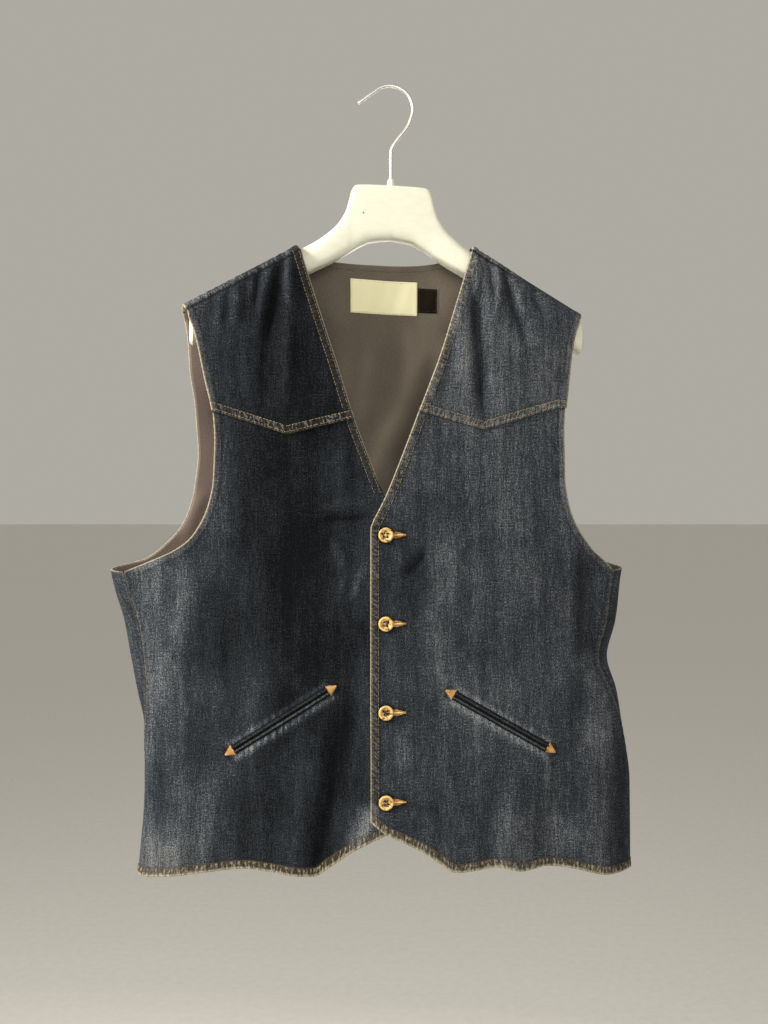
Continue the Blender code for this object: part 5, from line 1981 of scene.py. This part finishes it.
        # Painted pinkish light through the armhole, carried in the brown paint
        grid.wear[..., BROWN] = self.lining_flush * ease((-grid.points[..., 0] - 0.12) / 0.03)
        x, drop = self.smudge
        smudge = bell((grid.points[..., 0] - x) / 0.006) * bell((grid.drop - drop) / 0.005)
        grid.wear[..., SHADE] = 0.8 * smudge
        inner = grid.outer(-cut.seam - cut.lining)
        outer = grid.points - grid.normals * cut.seam
        made = self.pieces.shell("back_lining_cloth", grid, inner, outer, [self.finishes[Look.LINING]])
        self.panels["lining"] = self.pieces.seat(made, "lining", "back_lining")
        self._declare(grid)
        points, normals = grid.line(Brim.TOP, self.lining_stitch, -cut.seam - cut.lining)
        neck = np.abs(points[:, 0]) < cut.neck[0] - 0.004
        self.threads[Look.DARK].row((points[neck], -normals[neck]), SEAM_STITCH, 5.0)


@dataclass
class Pockets:
    """Lips, a near-black slit strip and arrowhead tacks of the two slanted pockets; the strip stands for the
    shadow in the opening and paints shadow lines round the lips.
    """

    cut: PocketCut
    vest: Vest
    steps: int = 64
    lip_rows: int = 9
    clearance: float = 0.0004
    lip_wall: float = 0.0004
    thread_radius: float = 0.00046
    thread_step: float = 0.00066
    overrun: float = 0.0006
    mouth_rows: int = 7
    mouth_clear: float = 0.0002
    mouth_wall: float = 0.0003
    lip_tone: float = 0.27
    # Fading and wear on the crown of the upper and the lower lip
    upper_crown: Pair = (0.05, 0.03)
    lower_crown: Pair = (0.20, 0.10)

    def build(self) -> None:
        """Makes both pockets."""
        for side in Side:
            tree = search_tree(self.vest.panels[f"front_{side.word}"])
            self._mouth(side, tree)
            for lip in Lip:
                self._lip(side, tree, lip)
            for end in End:
                self._tack(side, tree, end)

    def _strip(self, side: Side, tree: BVHTree, reach: Array, clearance: float) -> ClothGrid:
        """A strip of cloth along the pocket, between distances across it.

        Args:
            side: The wearer's side.
            tree: Search tree of the front.
            reach: Distances across the pocket.
            clearance: How far the strip stands off.

        Returns:
            The strip.
        """
        inner, along, across, length = self.cut.frame(side)
        clear = self.cut.tack_clear - self.overrun
        run = np.linspace(clear, length - clear, self.steps)
        xs = inner[0] + along[0] * run + across[0] * reach[:, None]
        drops = inner[1] + along[1] * run + across[1] * reach[:, None]
        fields = laid_fields(tree, xs, drops, BEFORE_VEST, clearance)
        fields[..., 4] = run
        grid = ClothGrid(fields)
        return grid if grid.normals[..., 1].mean() < 0 else ClothGrid(fields[:, ::-1])

    def _mouth(self, side: Side, tree: BVHTree) -> None:
        """Near-black strip: the shadowed opening between the lips, and painted shadow lines round their outer
        edges.

        Args:
            side: The wearer's side.
            tree: Search tree of the front.
        """
        reach = self.cut.mouth_half * np.linspace(-1.0, 1.0, self.mouth_rows)
        grid = self._strip(side, tree, reach, self.mouth_clear)
        outer = grid.points + grid.normals * self.mouth_wall
        made = self.vest.pieces.shell(
            f"pocket_{side.word}_slit", grid, grid.points, outer, [self.vest.finishes[Look.SLIT]]
        )
        self.vest.pieces.seat(made, "denim")

    def _lip(self, side: Side, tree: BVHTree, lip: Lip) -> None:
        """One rounded lip.

        Args:
            side: The wearer's side.
            tree: Search tree of the front.
            lip: Which of its lips.
        """
        share = np.linspace(0.0, 1.0, self.lip_rows)
        reach = lip.value * (self.cut.lip_gap / 2 + self.cut.lip_width * share)
        grid = self._strip(side, tree, reach, self.clearance)
        crown = np.sqrt(np.maximum(1 - (2 * share - 1) ** 2, 0.0))[:, None]
        wave = ripple(grid.run_across, 0.0070, 2.0 * side.value + lip.value)
        grid.height = crown * (self.cut.lip_crown + 0.0002 * wave)
        faded, worn = self.lower_crown if lip is Lip.LOWER else self.upper_crown
        grid.wear[..., FADE_AND_LIGHT] = self.lip_tone + faded * crown ** 3
        grid.wear[..., WORN] = worn * crown ** 6 * (0.6 + 0.4 * wave)
        name = f"jet_{side.word}_{lip.word}"
        made = self.vest.pieces.shell(
            f"{name}_cloth", grid, grid.points, grid.outer(self.lip_wall), [self.vest.finishes[Look.DENIM]]
        )
        self.vest.pieces.seat(made, "denim", name)

    def _tack(self, side: Side, tree: BVHTree, end: End) -> None:
        """One satin-stitched arrowhead that points away from the pocket.

        Args:
            side: The wearer's side.
            tree: Search tree of the front.
            end: Which end it closes.
        """
        inner, along, across, length = self.cut.frame(side)
        centre = inner + along * (length if end is End.OUTER else 0.0)
        point = along * end.value
        radius = self.cut.tack_radius
        rows = np.arange(-radius / 2, radius * 0.94, self.thread_step)
        half = radius * math.sqrt(3) / 2 * (1 - (rows + radius / 2) / (1.5 * radius))
        places, ways, normals = [], [], []
        for row in rows:
            spot = centre + point * row
            place, normal = met_cloth(tree, spot[0], spot[1], BEFORE_VEST)
            places.append(place + normal * (self.clearance + 0.0003))
            normals.append(normal)
            ways.append((across[0], 0.0, -across[1]))
        name = f"tack_{side.word}_{end.word}"
        sewing = Sewing(f"{name}_thread")
        uneven = 1 + 0.03 * np.sin(np.arange(len(rows)) * 2.3 + side.value)
        lengths = 2 * half * uneven + 0.0012
        sewing.add(np.array(places), np.array(ways), np.array(normals), lengths, self.thread_radius)
        made = sewing.build(self.vest.pieces, self.vest.finishes[Look.TAN])
        self.vest.pieces.seat(made, "thread", name)


def edit_new(operator: Any, **settings: Any) -> Piece:
    """Adds a primitive with nothing else selected and opens it in edit mode.

    Args:
        operator: Adds the primitive.
        **settings: Its settings.

    Returns:
        The new piece.
    """
    bpy.ops.object.select_all(action="DESELECT")
    operator(**settings)
    bpy.ops.object.mode_set(mode="EDIT")
    return bpy.context.object


def extruded_rings(sides: int, profile: Table, base: float = 0.0) -> Piece:
    """A round piece on Z, extruded ring by ring and still open in edit mode.

    Args:
        sides: Sides of each ring.
        profile: Radius and height of each ring, from the lowest on.
        base: Level that the heights are taken from.

    Returns:
        The piece, whose origin is the middle of its first ring.
    """
    radius, height = profile[0]
    piece = edit_new(
        bpy.ops.mesh.primitive_circle_add, vertices=sides, radius=radius, fill_type="NGON",
        location=(0.0, 0.0, base + height),
    )
    bpy.ops.mesh.select_all(action="SELECT")
    for next_radius, next_height in profile[1:]:
        move = {"value": (0.0, 0.0, next_height - height)}
        bpy.ops.mesh.extrude_region_move(TRANSFORM_OT_translate=move)
        share, centre = next_radius / radius, (0.0, 0.0, base + next_height)
        bpy.ops.transform.resize(value=(share, share, 1.0), center_override=centre)
        radius, height = next_radius, next_height
    bpy.ops.mesh.select_all(action="SELECT")
    bpy.ops.mesh.normals_make_consistent(inside=False)
    return piece


def close_edit(piece: Piece, name: str, finish: Finish, pieces: Pieces) -> Piece:
    """Leaves edit mode and names, dresses and files a piece.

    Args:
        piece: The piece that is open.
        name: Its name.
        finish: Its material.
        pieces: Holder of the scene's pieces.

    Returns:
        The same piece.
    """
    bpy.ops.object.mode_set(mode="OBJECT")
    piece.name = piece.data.name = name
    piece.data.materials.clear()
    piece.data.materials.append(finish)
    for holder in list(piece.users_collection):
        holder.objects.unlink(piece)
    pieces.collection.objects.link(piece)
    return piece


def apply_modifier(piece: Piece, kind: str, **settings: Any) -> None:
    """Adds a modifier with its settings and applies it.

    Args:
        piece: The piece to change.
        kind: Type of the modifier.
        **settings: Its settings.
    """
    modifier = piece.modifiers.new(kind.lower(), kind)
    for name, value in settings.items():
        setattr(modifier, name, value)
    bpy.context.view_layer.objects.active = piece
    bpy.ops.object.modifier_apply(modifier=modifier.name)


@dataclass
class Buttons:
    """Four four-hole buttons with their thread and their satin buttonholes."""

    vest: Vest
    cut: ButtonCut
    sides: int = 48
    hole_radius: float = 0.0010
    hole_pitch: float = 0.0036
    clearance: float = 0.0004
    thread_radius: float = 0.00040
    slit_radius: float = 0.00075
    taper_start: float = 0.0105
    satin_step: float = 0.0006
    rim_round: float = 0.00018
    # Radius and height of each ring, from the underside over the rim to the dished face
    profile: Table = (
        (0.0050, 0.0), (0.0066, 0.0003), (0.0073, 0.0009), (0.0076, 0.0017), (0.0074, 0.0024),
        (0.0068, 0.00285), (0.0061, 0.0029), (0.0053, 0.0026), (0.0047, 0.0019), (0.0040, 0.0015),
        (0.0022, 0.0014),
    )

    def build(self) -> None:
        """Makes one button and seats a copy of it at each buttonhole."""
        tree = search_tree(self.vest.panels["front_left"])
        master = self._master()
        satin = Sewing("buttonhole_thread")
        slit = Sewing("buttonhole_linings")
        cross = Sewing("button_thread")
        for number in range(self.cut.count):
            drop = self.cut.top_drop + self.cut.spacing * number
            x = self.vest.form.button_x(drop)
            place, normal = met_cloth(tree, x, drop, BEFORE_VEST)
            seat = self._seat(place + normal * self.clearance, normal)
            self._copy(master, number, seat)
            self._sew_on(cross, seat)
            self._buttonhole(satin, slit, tree, x, drop, number)
        bpy.data.objects.remove(master)
        pieces, finishes = self.vest.pieces, self.vest.finishes
        pieces.seat(satin.build(pieces, finishes[Look.AMBER]), "thread")
        pieces.seat(slit.build(pieces, finishes[Look.STRAW]), "thread")
        pieces.seat(cross.build(pieces, finishes[Look.BROWN]), "thread")

    def _seat(self, place: Vector, normal: Vector) -> Matrix:
        """Seats a piece that is modelled on Z at a point of the cloth, with local X level.

        Args:
            place: The point.
            normal: Normal of the cloth there.

        Returns:
            The matrix that seats it.
        """
        across = Vector((0.0, 0.0, 1.0)).cross(normal).normalized()
        up = normal.cross(across)
        return Matrix.Translation(place) @ Matrix((across, up, normal)).transposed().to_4x4()

    def _master(self) -> Piece:
        """The button, extruded ring by ring from its underside and then bored.

        Returns:
            The button, at the origin.
        """
        piece = extruded_rings(self.sides, self.profile)
        close_edit(piece, "button_master", self.vest.finishes[Look.HORN], self.vest.pieces)
        for turn in range(4):
            angle = math.radians(45 + 90 * turn)
            reach = self.hole_pitch / math.sqrt(2)
            spot = (reach * math.cos(angle), reach * math.sin(angle), 0.0)
            bpy.ops.object.select_all(action="DESELECT")
            sizes = {"vertices": 16, "radius": self.hole_radius, "depth": 0.02}
            bpy.ops.mesh.primitive_cylinder_add(location=spot, **sizes)
            pin = bpy.context.object
            apply_modifier(piece, "BOOLEAN", object=pin, operation="DIFFERENCE", solver="EXACT")
            bpy.data.objects.remove(pin)
        rounding = {"segments": 2, "limit_method": "ANGLE", "angle_limit": 0.9}
        apply_modifier(piece, "BEVEL", width=self.rim_round, **rounding)
        piece.data.shade_smooth()
        paint = piece.data.color_attributes.new(WEAR_NAME, "FLOAT_COLOR", "POINT")
        for vertex, value in zip(piece.data.vertices, paint.data):
            value.color = (vertex.co.xy.length / self.cut.radius, 0.0, 0.0, 1.0)
        return piece

    def _copy(self, master: Piece, number: int, seat: Matrix) -> None:
        """One finished button, turned so that no two show the same marbling.

        Args:
            master: The button to copy.
            number: Number of the copy, from 0.
            seat: Where it goes.
        """
        name = f"button_{number + 1}"
        mesh = master.data.copy()
        mesh.transform(seat @ Matrix.Rotation(math.radians(6.0 * number - 9.0), 4, "Z"))
        made = bpy.data.objects.new(f"{name}_horn", mesh)
        self.vest.pieces.collection.objects.link(made)
        self.vest.pieces.seat(made, "horn", name)

    def _sew_on(self, cross: Sewing, seat: Matrix) -> None:
        """Two short lengths of thread between the holes of a button.

        Args:
            cross: Takes the stitches.
            seat: Where the button is.
        """
        half = self.hole_pitch / 2
        turn = np.array(seat.to_3x3())
        centre = np.array(seat.translation)
        places = np.array([(0.0, way * half, 0.0017) for way in (-1, 1)]) @ turn.T + centre
        ways = np.tile(turn @ (1.0, 0.0, 0.0), (2, 1))
        normals = np.tile(turn @ (0.0, 0.0, 1.0), (2, 1))
        cross.add(places, ways, normals, self.hole_pitch + 0.0006, self.thread_radius)

    def _buttonhole(
        self, satin: Sewing, slit: Sewing, tree: BVHTree, x: float, drop: float, number: int
    ) -> None:
        """Satin stitches either side of a slit, drawn in to a point past the button's rim.

        Args:
            satin: Takes the stitches.
            slit: Takes the pale core of the slit.
            tree: Search tree of the front.
            x: Place of the button.
            drop: Drop of the button.
            number: Shifts the unevenness.
        """
        steps = np.arange(self.cut.hole_start, self.cut.hole_end, self.satin_step)
        taper = ease((steps - self.taper_start) / (self.cut.hole_end - self.taper_start))
        half = self.cut.hole_half * (1 - 0.8 * taper) * (1 + 0.07 * np.sin(steps * 9000.0 + number))
        places, ways, normals, lengths = [], [], [], []
        for step, reach in zip(steps, half):
            for way in (-1, 1):
                place, normal = met_cloth(tree, x + step, drop + way * (reach / 2 + 0.0002), BEFORE_VEST)
                places.append(place + normal * 0.0003)
                normals.append(normal)
                ways.append((0.10 * way, 0.0, 1.0))
                lengths.append(reach + 0.0004)
        satin.add(np.array(places), np.array(ways), np.array(normals), np.array(lengths), self.thread_radius)
        middle, normal = met_cloth(tree, x + (self.cut.hole_start + self.cut.hole_end) / 2, drop, BEFORE_VEST)
        long = self.cut.hole_end - self.cut.hole_start - 0.003
        places, ways = np.array([middle + normal * 0.0006]), np.array([(1.0, 0.0, 0.0)])
        slit.add(places, ways, np.array([normal]), long, self.slit_radius)


@dataclass
class Labels:
    """Two bare woven labels on the lining at the back neck."""

    vest: Vest
    # Centre x, centre drop, width and height
    main: tuple[float, float, float, float] = (-0.0073, 0.2165, 0.0715, 0.035)
    care: tuple[float, float, float, float] = (0.0395, 0.2187, 0.0205, 0.025)
    slope: float = 0.024
    wall: float = 0.0007
    puff: float = 0.0008
    crease: float = 0.0004
    clearance: float = 0.0004
    stitch_away: float = 0.0014
    columns: int = 44
    rows: int = 24

    def build(self) -> None:
        """Makes both labels."""
        tree = search_tree(self.vest.panels["lining"])
        self._label("label_main", self.main, Look.LABEL_CREAM, tree)
        self._label("label_care", self.care, Look.LABEL_BROWN, tree)

    def _label(self, name: str, sizes: tuple[float, float, float, float], look: Look, tree: BVHTree) -> None:
        """One label, puffed a little between its sewn edges.

        Args:
            name: Name of its node.
            sizes: Centre x, centre drop, width and height.
            look: Its finish.
            tree: Search tree of the lining.
        """
        x, drop, width, height = sizes
        share_x, share_drop = (np.linspace(-0.5, 0.5, count) for count in (self.columns, self.rows))
        xs, drops = np.meshgrid(x + width * share_x, drop + height * share_drop)
        drops = drops + (xs - x) * self.slope
        grid = ClothGrid(laid_fields(tree, xs, drops, BEFORE_LINING, self.clearance))
        loose = (1 - (2 * share_x) ** 4) * (1 - (2 * share_drop[:, None]) ** 6)
        crease = self.crease * np.sin(share_x * width * 320.0 + share_drop[:, None] * 3.0)
        grid.height = loose * (self.puff + crease)
        pieces, finishes = self.vest.pieces, self.vest.finishes
        made = pieces.shell(f"{name}_cloth", grid, grid.points, grid.outer(self.wall), [finishes[look]])
        pieces.seat(made, look.word, name)
        thread = Look.CREAM if look is Look.LABEL_CREAM else Look.DARK
        for brim in Brim:
            self.vest.threads[thread].row(grid.line(brim, self.stitch_away, self.wall), SEAM_STITCH, 1.0)


@dataclass
class Hanger:
    """Moulded hanger with its collar and wire hook, turned a little on its rail."""

    vest: Vest
    turn: float = 10.0
    end: float = 0.2085
    arm_bottom: Table = ((0.089, 0.2007), (0.2085, 0.2787))
    arm_depth: Pair = (0.0135, 0.0165)
    arm_power: float = 2.15
    low_power: float = 4.5
    rest: float = 0.0005
    # x, top drop, bottom drop, half depth and corner power, from the middle out to the neck
    plate: Table = (
        (0.0000, 0.1047, 0.1611, 0.0110, 5.0), (0.0210, 0.1049, 0.1640, 0.0110, 5.0),
        (0.0345, 0.1055, 0.1702, 0.0110, 5.0), (0.0390, 0.1068, 0.1730, 0.0110, 5.0),
        (0.0415, 0.1100, 0.1746, 0.0110, 4.8), (0.0430, 0.1150, 0.1756, 0.0110, 4.6),
        (0.0453, 0.1248, 0.1771, 0.0111, 4.4), (0.0510, 0.1385, 0.1806, 0.0113, 4.0),
        (0.0585, 0.1490, 0.1850, 0.0117, 3.6), (0.0688, 0.1583, 0.1906, 0.0123, 3.0),
        (0.0806, 0.1666, 0.1965, 0.0130, 2.3), (0.0925, 0.1733, 0.2030, 0.0135, 2.15),
        (0.1040, 0.1790, 0.2105, 0.0138, 2.15),
    )
    arm_start: float = 0.116
    ring_sides: int = 40
    ring_cuts: int = 180
    end_round: float = 0.0030
    end_shrink: float = 0.22
    middle_crowding: float = 1.35
    sharp_angle: float = 50.0
    wire_radius: float = 0.0018
    hook_radius: float = 0.0235
    hook_arc: Pair = (-25.0, 128.0)
    hook_tail: float = 0.026
    stem_bend: float = 0.068
    stem_ease: float = 0.008
    seam: float = 0.0003
    # Radius and height above the hanger's top of the collar's rings
    collar_profile: Table = (
        (0.0042, 0.0003), (0.0041, 0.0024), (0.0038, 0.0050), (0.0036, 0.0062), (0.0032, 0.0074),
        (0.0026, 0.0078),
    )

    def build(self) -> None:
        """Makes the three pieces of the hanger."""
        pieces = self.vest.pieces
        turned = Matrix.Rotation(math.radians(self.turn), 4, "Z")
        for made, slot, node in (
            (self._body(), "plastic", "hanger_body"),
            (self._collar(), "plastic", "hanger_collar"),
            (self._hook(), "steel", "hanger_hook"),
        ):
            made.data.transform(turned)
            pieces.seat(made, slot, node)

    def _sections(self) -> Array:
        """Table of sections from the middle of the hanger to its end.

        Returns:
            Rows as in the table of the plate.
        """
        (neck_x, neck_drop), (end_x, end_drop) = self.arm_bottom
        rows = [list(row) for row in self.plate]
        for x in np.linspace(self.arm_start, end_x, 7):
            out = (x - neck_x) / (end_x - neck_x)
            top = float(self.vest.form.shoulder_drop(x)) + self.rest
            depth = self.arm_depth[0] + (self.arm_depth[1] - self.arm_depth[0]) * out
            rows.append([x, top, neck_drop + (end_drop - neck_drop) * out, depth, self.arm_power])
        return np.array(rows)

    def _body(self) -> Piece:
        """The body: a bar cut into rings, each moved to its own rounded section.

        Returns:
            The body, not yet turned.
        """
        piece = edit_new(
            bpy.ops.mesh.primitive_cylinder_add, vertices=self.ring_sides, radius=1.0, depth=2.0,
            location=(0.0, 0.0, 0.0),
        )
        bpy.ops.mesh.select_mode(type="EDGE")
        bpy.ops.mesh.select_all(action="DESELECT")
        bpy.ops.object.mode_set(mode="OBJECT")
        for edge in piece.data.edges:
            first, second = (piece.data.vertices[corner].co.z for corner in edge.vertices)
            edge.select = abs(first - second) > 1.0
        bpy.ops.object.mode_set(mode="EDIT")
        bpy.ops.mesh.subdivide_edgering(number_cuts=self.ring_cuts, interpolation="LINEAR", smoothness=0.0)
        close_edit(piece, "hanger_body_moulding", self.vest.finishes[Look.PLASTIC], self.vest.pieces)
        sections = self._sections()
        count = len(piece.data.vertices)
        flat = np.empty(count * 3)
        piece.data.vertices.foreach_get("co", flat)
        bar = flat.reshape(-1, 3)
        station = bar[:, 2]
        x = np.sign(station) * self.end * np.abs(station) ** self.middle_crowding
        top, bottom, depth, power = (table_curve(np.abs(x), sections, column) for column in range(1, 5))
        past = np.clip((np.abs(x) - self.end + self.end_round) / self.end_round, 0.0, 1.0)
        shrink = 1 - self.end_shrink * (1 - np.sqrt(1 - past ** 2))
        turn = np.arctan2(bar[:, 1], bar[:, 0])
        lobe = 2 / np.where(np.sin(turn) < 0, np.maximum(power, self.low_power), power)
        y = depth * shrink * np.sign(np.cos(turn)) * np.abs(np.cos(turn)) ** lobe
        rise = shrink * np.sign(np.sin(turn)) * np.abs(np.sin(turn)) ** lobe
        z = -(top + bottom) / 2 + (bottom - top) / 2 * rise
        piece.data.vertices.foreach_set("co", np.stack((x, y, z), axis=-1).ravel())
        bpy.ops.object.mode_set(mode="EDIT")
        bpy.ops.mesh.select_all(action="SELECT")
        bpy.ops.mesh.normals_make_consistent(inside=False)
        bpy.ops.object.mode_set(mode="OBJECT")
        piece.data.shade_smooth()
        piece.data.set_sharp_from_angle(angle=math.radians(self.sharp_angle))
        return piece

    def _collar(self) -> Piece:
        """The moulded ring round the foot of the hook, extruded ring by ring.

        Returns:
            The ring, not yet turned.
        """
        piece = extruded_rings(self.ring_sides, self.collar_profile, -self.plate[0][1])
        close_edit(piece, "hanger_collar_ring", self.vest.finishes[Look.PLASTIC], self.vest.pieces)
        piece.data.transform(piece.matrix_world)
        piece.matrix_world = Matrix.Identity(4)
        piece.data.shade_smooth()
        piece.data.set_sharp_from_angle(angle=math.radians(40))
        return piece

    def _hook_path(self) -> list[Pair]:
        """Centre line of the hook: stem, lean to one side, crown and open tail.

        Returns:
            Points as x and z.
        """
        foot = -self.plate[0][1] + 2 * self.seam
        centre = self.wire_radius - self.hook_radius
        start, end = (math.radians(angle) for angle in self.hook_arc)
        turns = np.linspace(start, end, 60)
        arc = [(self.hook_radius * math.cos(a), centre + self.hook_radius * math.sin(a)) for a in turns]
        (first_x, first_z), (last_x, last_z) = arc[0], arc[-1]
        reach = np.linspace(0.0, self.hook_tail, 16)[1:]
        tail = [(last_x - math.sin(end) * step, last_z + math.cos(end) * step) for step in reach]
        rise = np.linspace(0.0, 1.0, 24)[:-1]
        lean_x = first_x * ease(rise * 0.9 + 0.05)
        lean_z = -self.stem_bend + (first_z + self.stem_bend) * rise
        stem = [(0.0, foot), (0.0, -self.stem_bend - self.stem_ease)]
        return stem + list(zip(lean_x.tolist(), lean_z.tolist())) + arc + tail

    def _hook(self) -> Piece:
        """Round wire along the hook's centre line, with a rounded tip.

        Returns:
            The hook, not yet turned.
        """
        path = self._hook_path()
        curve = bpy.data.curves.new("hanger_hook_line", "CURVE")
        curve.dimensions = "3D"
        curve.bevel_depth = self.wire_radius
        curve.bevel_resolution = 5
        curve.use_fill_caps = True
        line = curve.splines.new("POLY")
        line.points.add(len(path) - 1)
        for point, (x, z) in zip(line.points, path):
            point.co = (x, 0.0, z, 1.0)
        line.points[-1].radius = 0.6
        made = bpy.data.objects.new("hanger_hook_wire", curve)
        self.vest.pieces.collection.objects.link(made)
        bpy.ops.object.select_all(action="DESELECT")
        made.select_set(True)
        bpy.context.view_layer.objects.active = made
        bpy.ops.object.convert(target="MESH")
        made.data.shade_smooth()
        made.data.set_sharp_from_angle(angle=math.radians(self.sharp_angle))
        made.data.materials.clear()
        made.data.materials.append(self.vest.finishes[Look.STEEL])
        return made


@dataclass
class Studio:
    """Pale floor, soft lights and the camera."""

    finish: Finish
    floor_drop: float = 1.9
    floor_size: float = 240.0
    camera_place: tuple[float, float, float] = (-0.0072, -1.085, -0.4473)
    lens: float = 36.19
    sensor: float = 36.0
    # Name, place, point aimed at, size and power of each light
    lights: tuple[tuple[str, tuple, tuple, float, float], ...] = (
        ("key", (-1.70, -0.85, 0.45), (0.0, 0.0, -0.45), 0.7, 78.0),
        ("fill", (0.3, -2.4, 0.3), (0.0, 0.0, -0.5), 1.2, 24.0),
        ("back", (0.2, 1.75, -0.2), (0.0, 0.0, -0.4), 1.2, 15.0),
    )
    warmth: Colour = (1.0, 0.96, 0.86)
    sky: float = 0.42

    def build(self) -> None:
        """Makes the stage, the lights and the camera."""
        self._floor()
        for name, place, aim, size, power in self.lights:
            self._light(name, Vector(place), Vector(aim), size, power)
        world = bpy.data.worlds.new("soft_sky")
        world.use_nodes = True
        sky = world.node_tree.nodes["Background"]
        sky.inputs["Color"].default_value = (*self.warmth, 1.0)
        sky.inputs["Strength"].default_value = self.sky
        scene = bpy.context.scene
        scene.world = world
        scene.view_settings.view_transform = "Standard"
        camera = bpy.data.cameras.new("camera")
        camera.lens = self.lens
        camera.sensor_width = self.sensor
        holder = bpy.data.objects.new("camera", camera)
        holder.location = self.camera_place
        holder.rotation_euler = (math.pi / 2, 0.0, 0.0)
        scene.collection.objects.link(holder)
        scene.camera = holder

    def _floor(self) -> None:
        """A plain floor, as far as can be seen."""
        floor = edit_new(bpy.ops.mesh.primitive_plane_add, size=self.floor_size, location=(0.0, 0.0, 0.0))
        bpy.ops.transform.translate(value=(0.0, 0.0, -self.floor_drop))
        bpy.ops.object.mode_set(mode="OBJECT")
        floor.name = floor.data.name = "floor"
        floor.data.materials.append(self.finish)

    def _light(self, name: str, place: Vector, aim: Vector, size: float, power: float) -> None:
        """One square soft light.

        Args:
            name: Name of the light.
            place: Where it stands.
            aim: Point it is turned to.
            size: Length of its sides.
            power: Power in watts.
        """
        lamp = bpy.data.lights.new(name, "AREA")
        lamp.shape = "SQUARE"
        lamp.size = size
        lamp.energy = power
        lamp.color = self.warmth
        holder = bpy.data.objects.new(name, lamp)
        holder.location = place
        holder.rotation_euler = (aim - place).to_track_quat("-Z", "Y").to_euler()
        holder.visible_camera = False
        bpy.context.scene.collection.objects.link(holder)


def make_finishes() -> dict[Look, Finish]:
    """All materials of the vest, its hanger and the studio.

    Returns:
        Materials by look.
    """
    reverse = Denim(
        name="denim_reverse", dark=(0.05, 0.055, 0.062), mid=(0.13, 0.14, 0.15), light=(0.22, 0.23, 0.24),
        pale=(0.30, 0.31, 0.32),
    )
    # Near-black cloth for the shadow in the pocket's opening and the painted shadow lines round its lips
    slit = Denim(
        name="dark_slit", dark=(0.002, 0.002, 0.003), mid=(0.004, 0.004, 0.005), light=(0.007, 0.007, 0.009),
        pale=(0.010, 0.010, 0.012),
    )
    return {
        Look.DENIM: Denim().build(),
        Look.REVERSE: reverse.build(),
        Look.SLIT: slit.build(),
        Look.LINING: Lining().build(),
        Look.TAN: Thread("tan_thread", (0.31, 0.155, 0.044), (0.68, 0.385, 0.140)).build(),
        Look.GOLD: Thread("gold_thread", (0.20, 0.138, 0.07), (0.48, 0.345, 0.180)).build(),
        Look.LIGHT: Thread("pale_thread", (0.110, 0.086, 0.050), (0.31, 0.25, 0.160)).build(),
        Look.STRAW: Thread("straw_thread", (0.62, 0.44, 0.18), (0.84, 0.65, 0.34)).build(),
        Look.AMBER: Thread("amber_thread", (0.24, 0.105, 0.025), (0.56, 0.30, 0.09)).build(),
        Look.CREAM: Thread("cream_thread", (0.60, 0.55, 0.38), (0.82, 0.77, 0.58)).build(),
        Look.BROWN: Thread("brown_thread", (0.040, 0.023, 0.012), (0.120, 0.074, 0.038)).build(),
        Look.DARK: Thread("dark_thread", (0.015, 0.012, 0.010), (0.045, 0.036, 0.030)).build(),
        Look.HORN: Horn().build(),
        Look.LABEL_CREAM: WovenLabel("cream_label", (0.95, 0.89, 0.55), (0.99, 0.96, 0.69)).build(),
        Look.LABEL_BROWN: WovenLabel("brown_label", (0.008, 0.0048, 0.0019), (0.01, 0.0059, 0.0024)).build(),
        Look.PLASTIC: Plastic().build(),
        Look.STEEL: Steel().build(),
        Look.PAPER: StudioPaper().build(),
    }


def main() -> None:
    """Builds the vest, its hanger and the studio in order."""
    logging.basicConfig(level=logging.INFO, format="%(name)s: %(message)s")
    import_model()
    finishes = make_finishes()
    pieces = Pieces()
    sewn = (Look.LIGHT, Look.GOLD, Look.BROWN, Look.DARK, Look.CREAM)
    threads = {look: Sewing(f"{look.word}_stitches") for look in sewn}
    pocket = PocketCut()
    button = ButtonCut()
    vest = Vest(VestForm(Cut(), Folds()), pieces, finishes, threads, pocket, button)
    vest.build()
    Pockets(pocket, vest).build()
    Buttons(vest, button).build()
    Labels(vest).build()
    for look, sewing in threads.items():
        pieces.seat(sewing.build(pieces, finishes[look]), "thread")
    Hanger(vest).build()
    Studio(finishes[Look.PAPER]).build()
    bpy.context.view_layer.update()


if __name__ == "__main__":
    main()
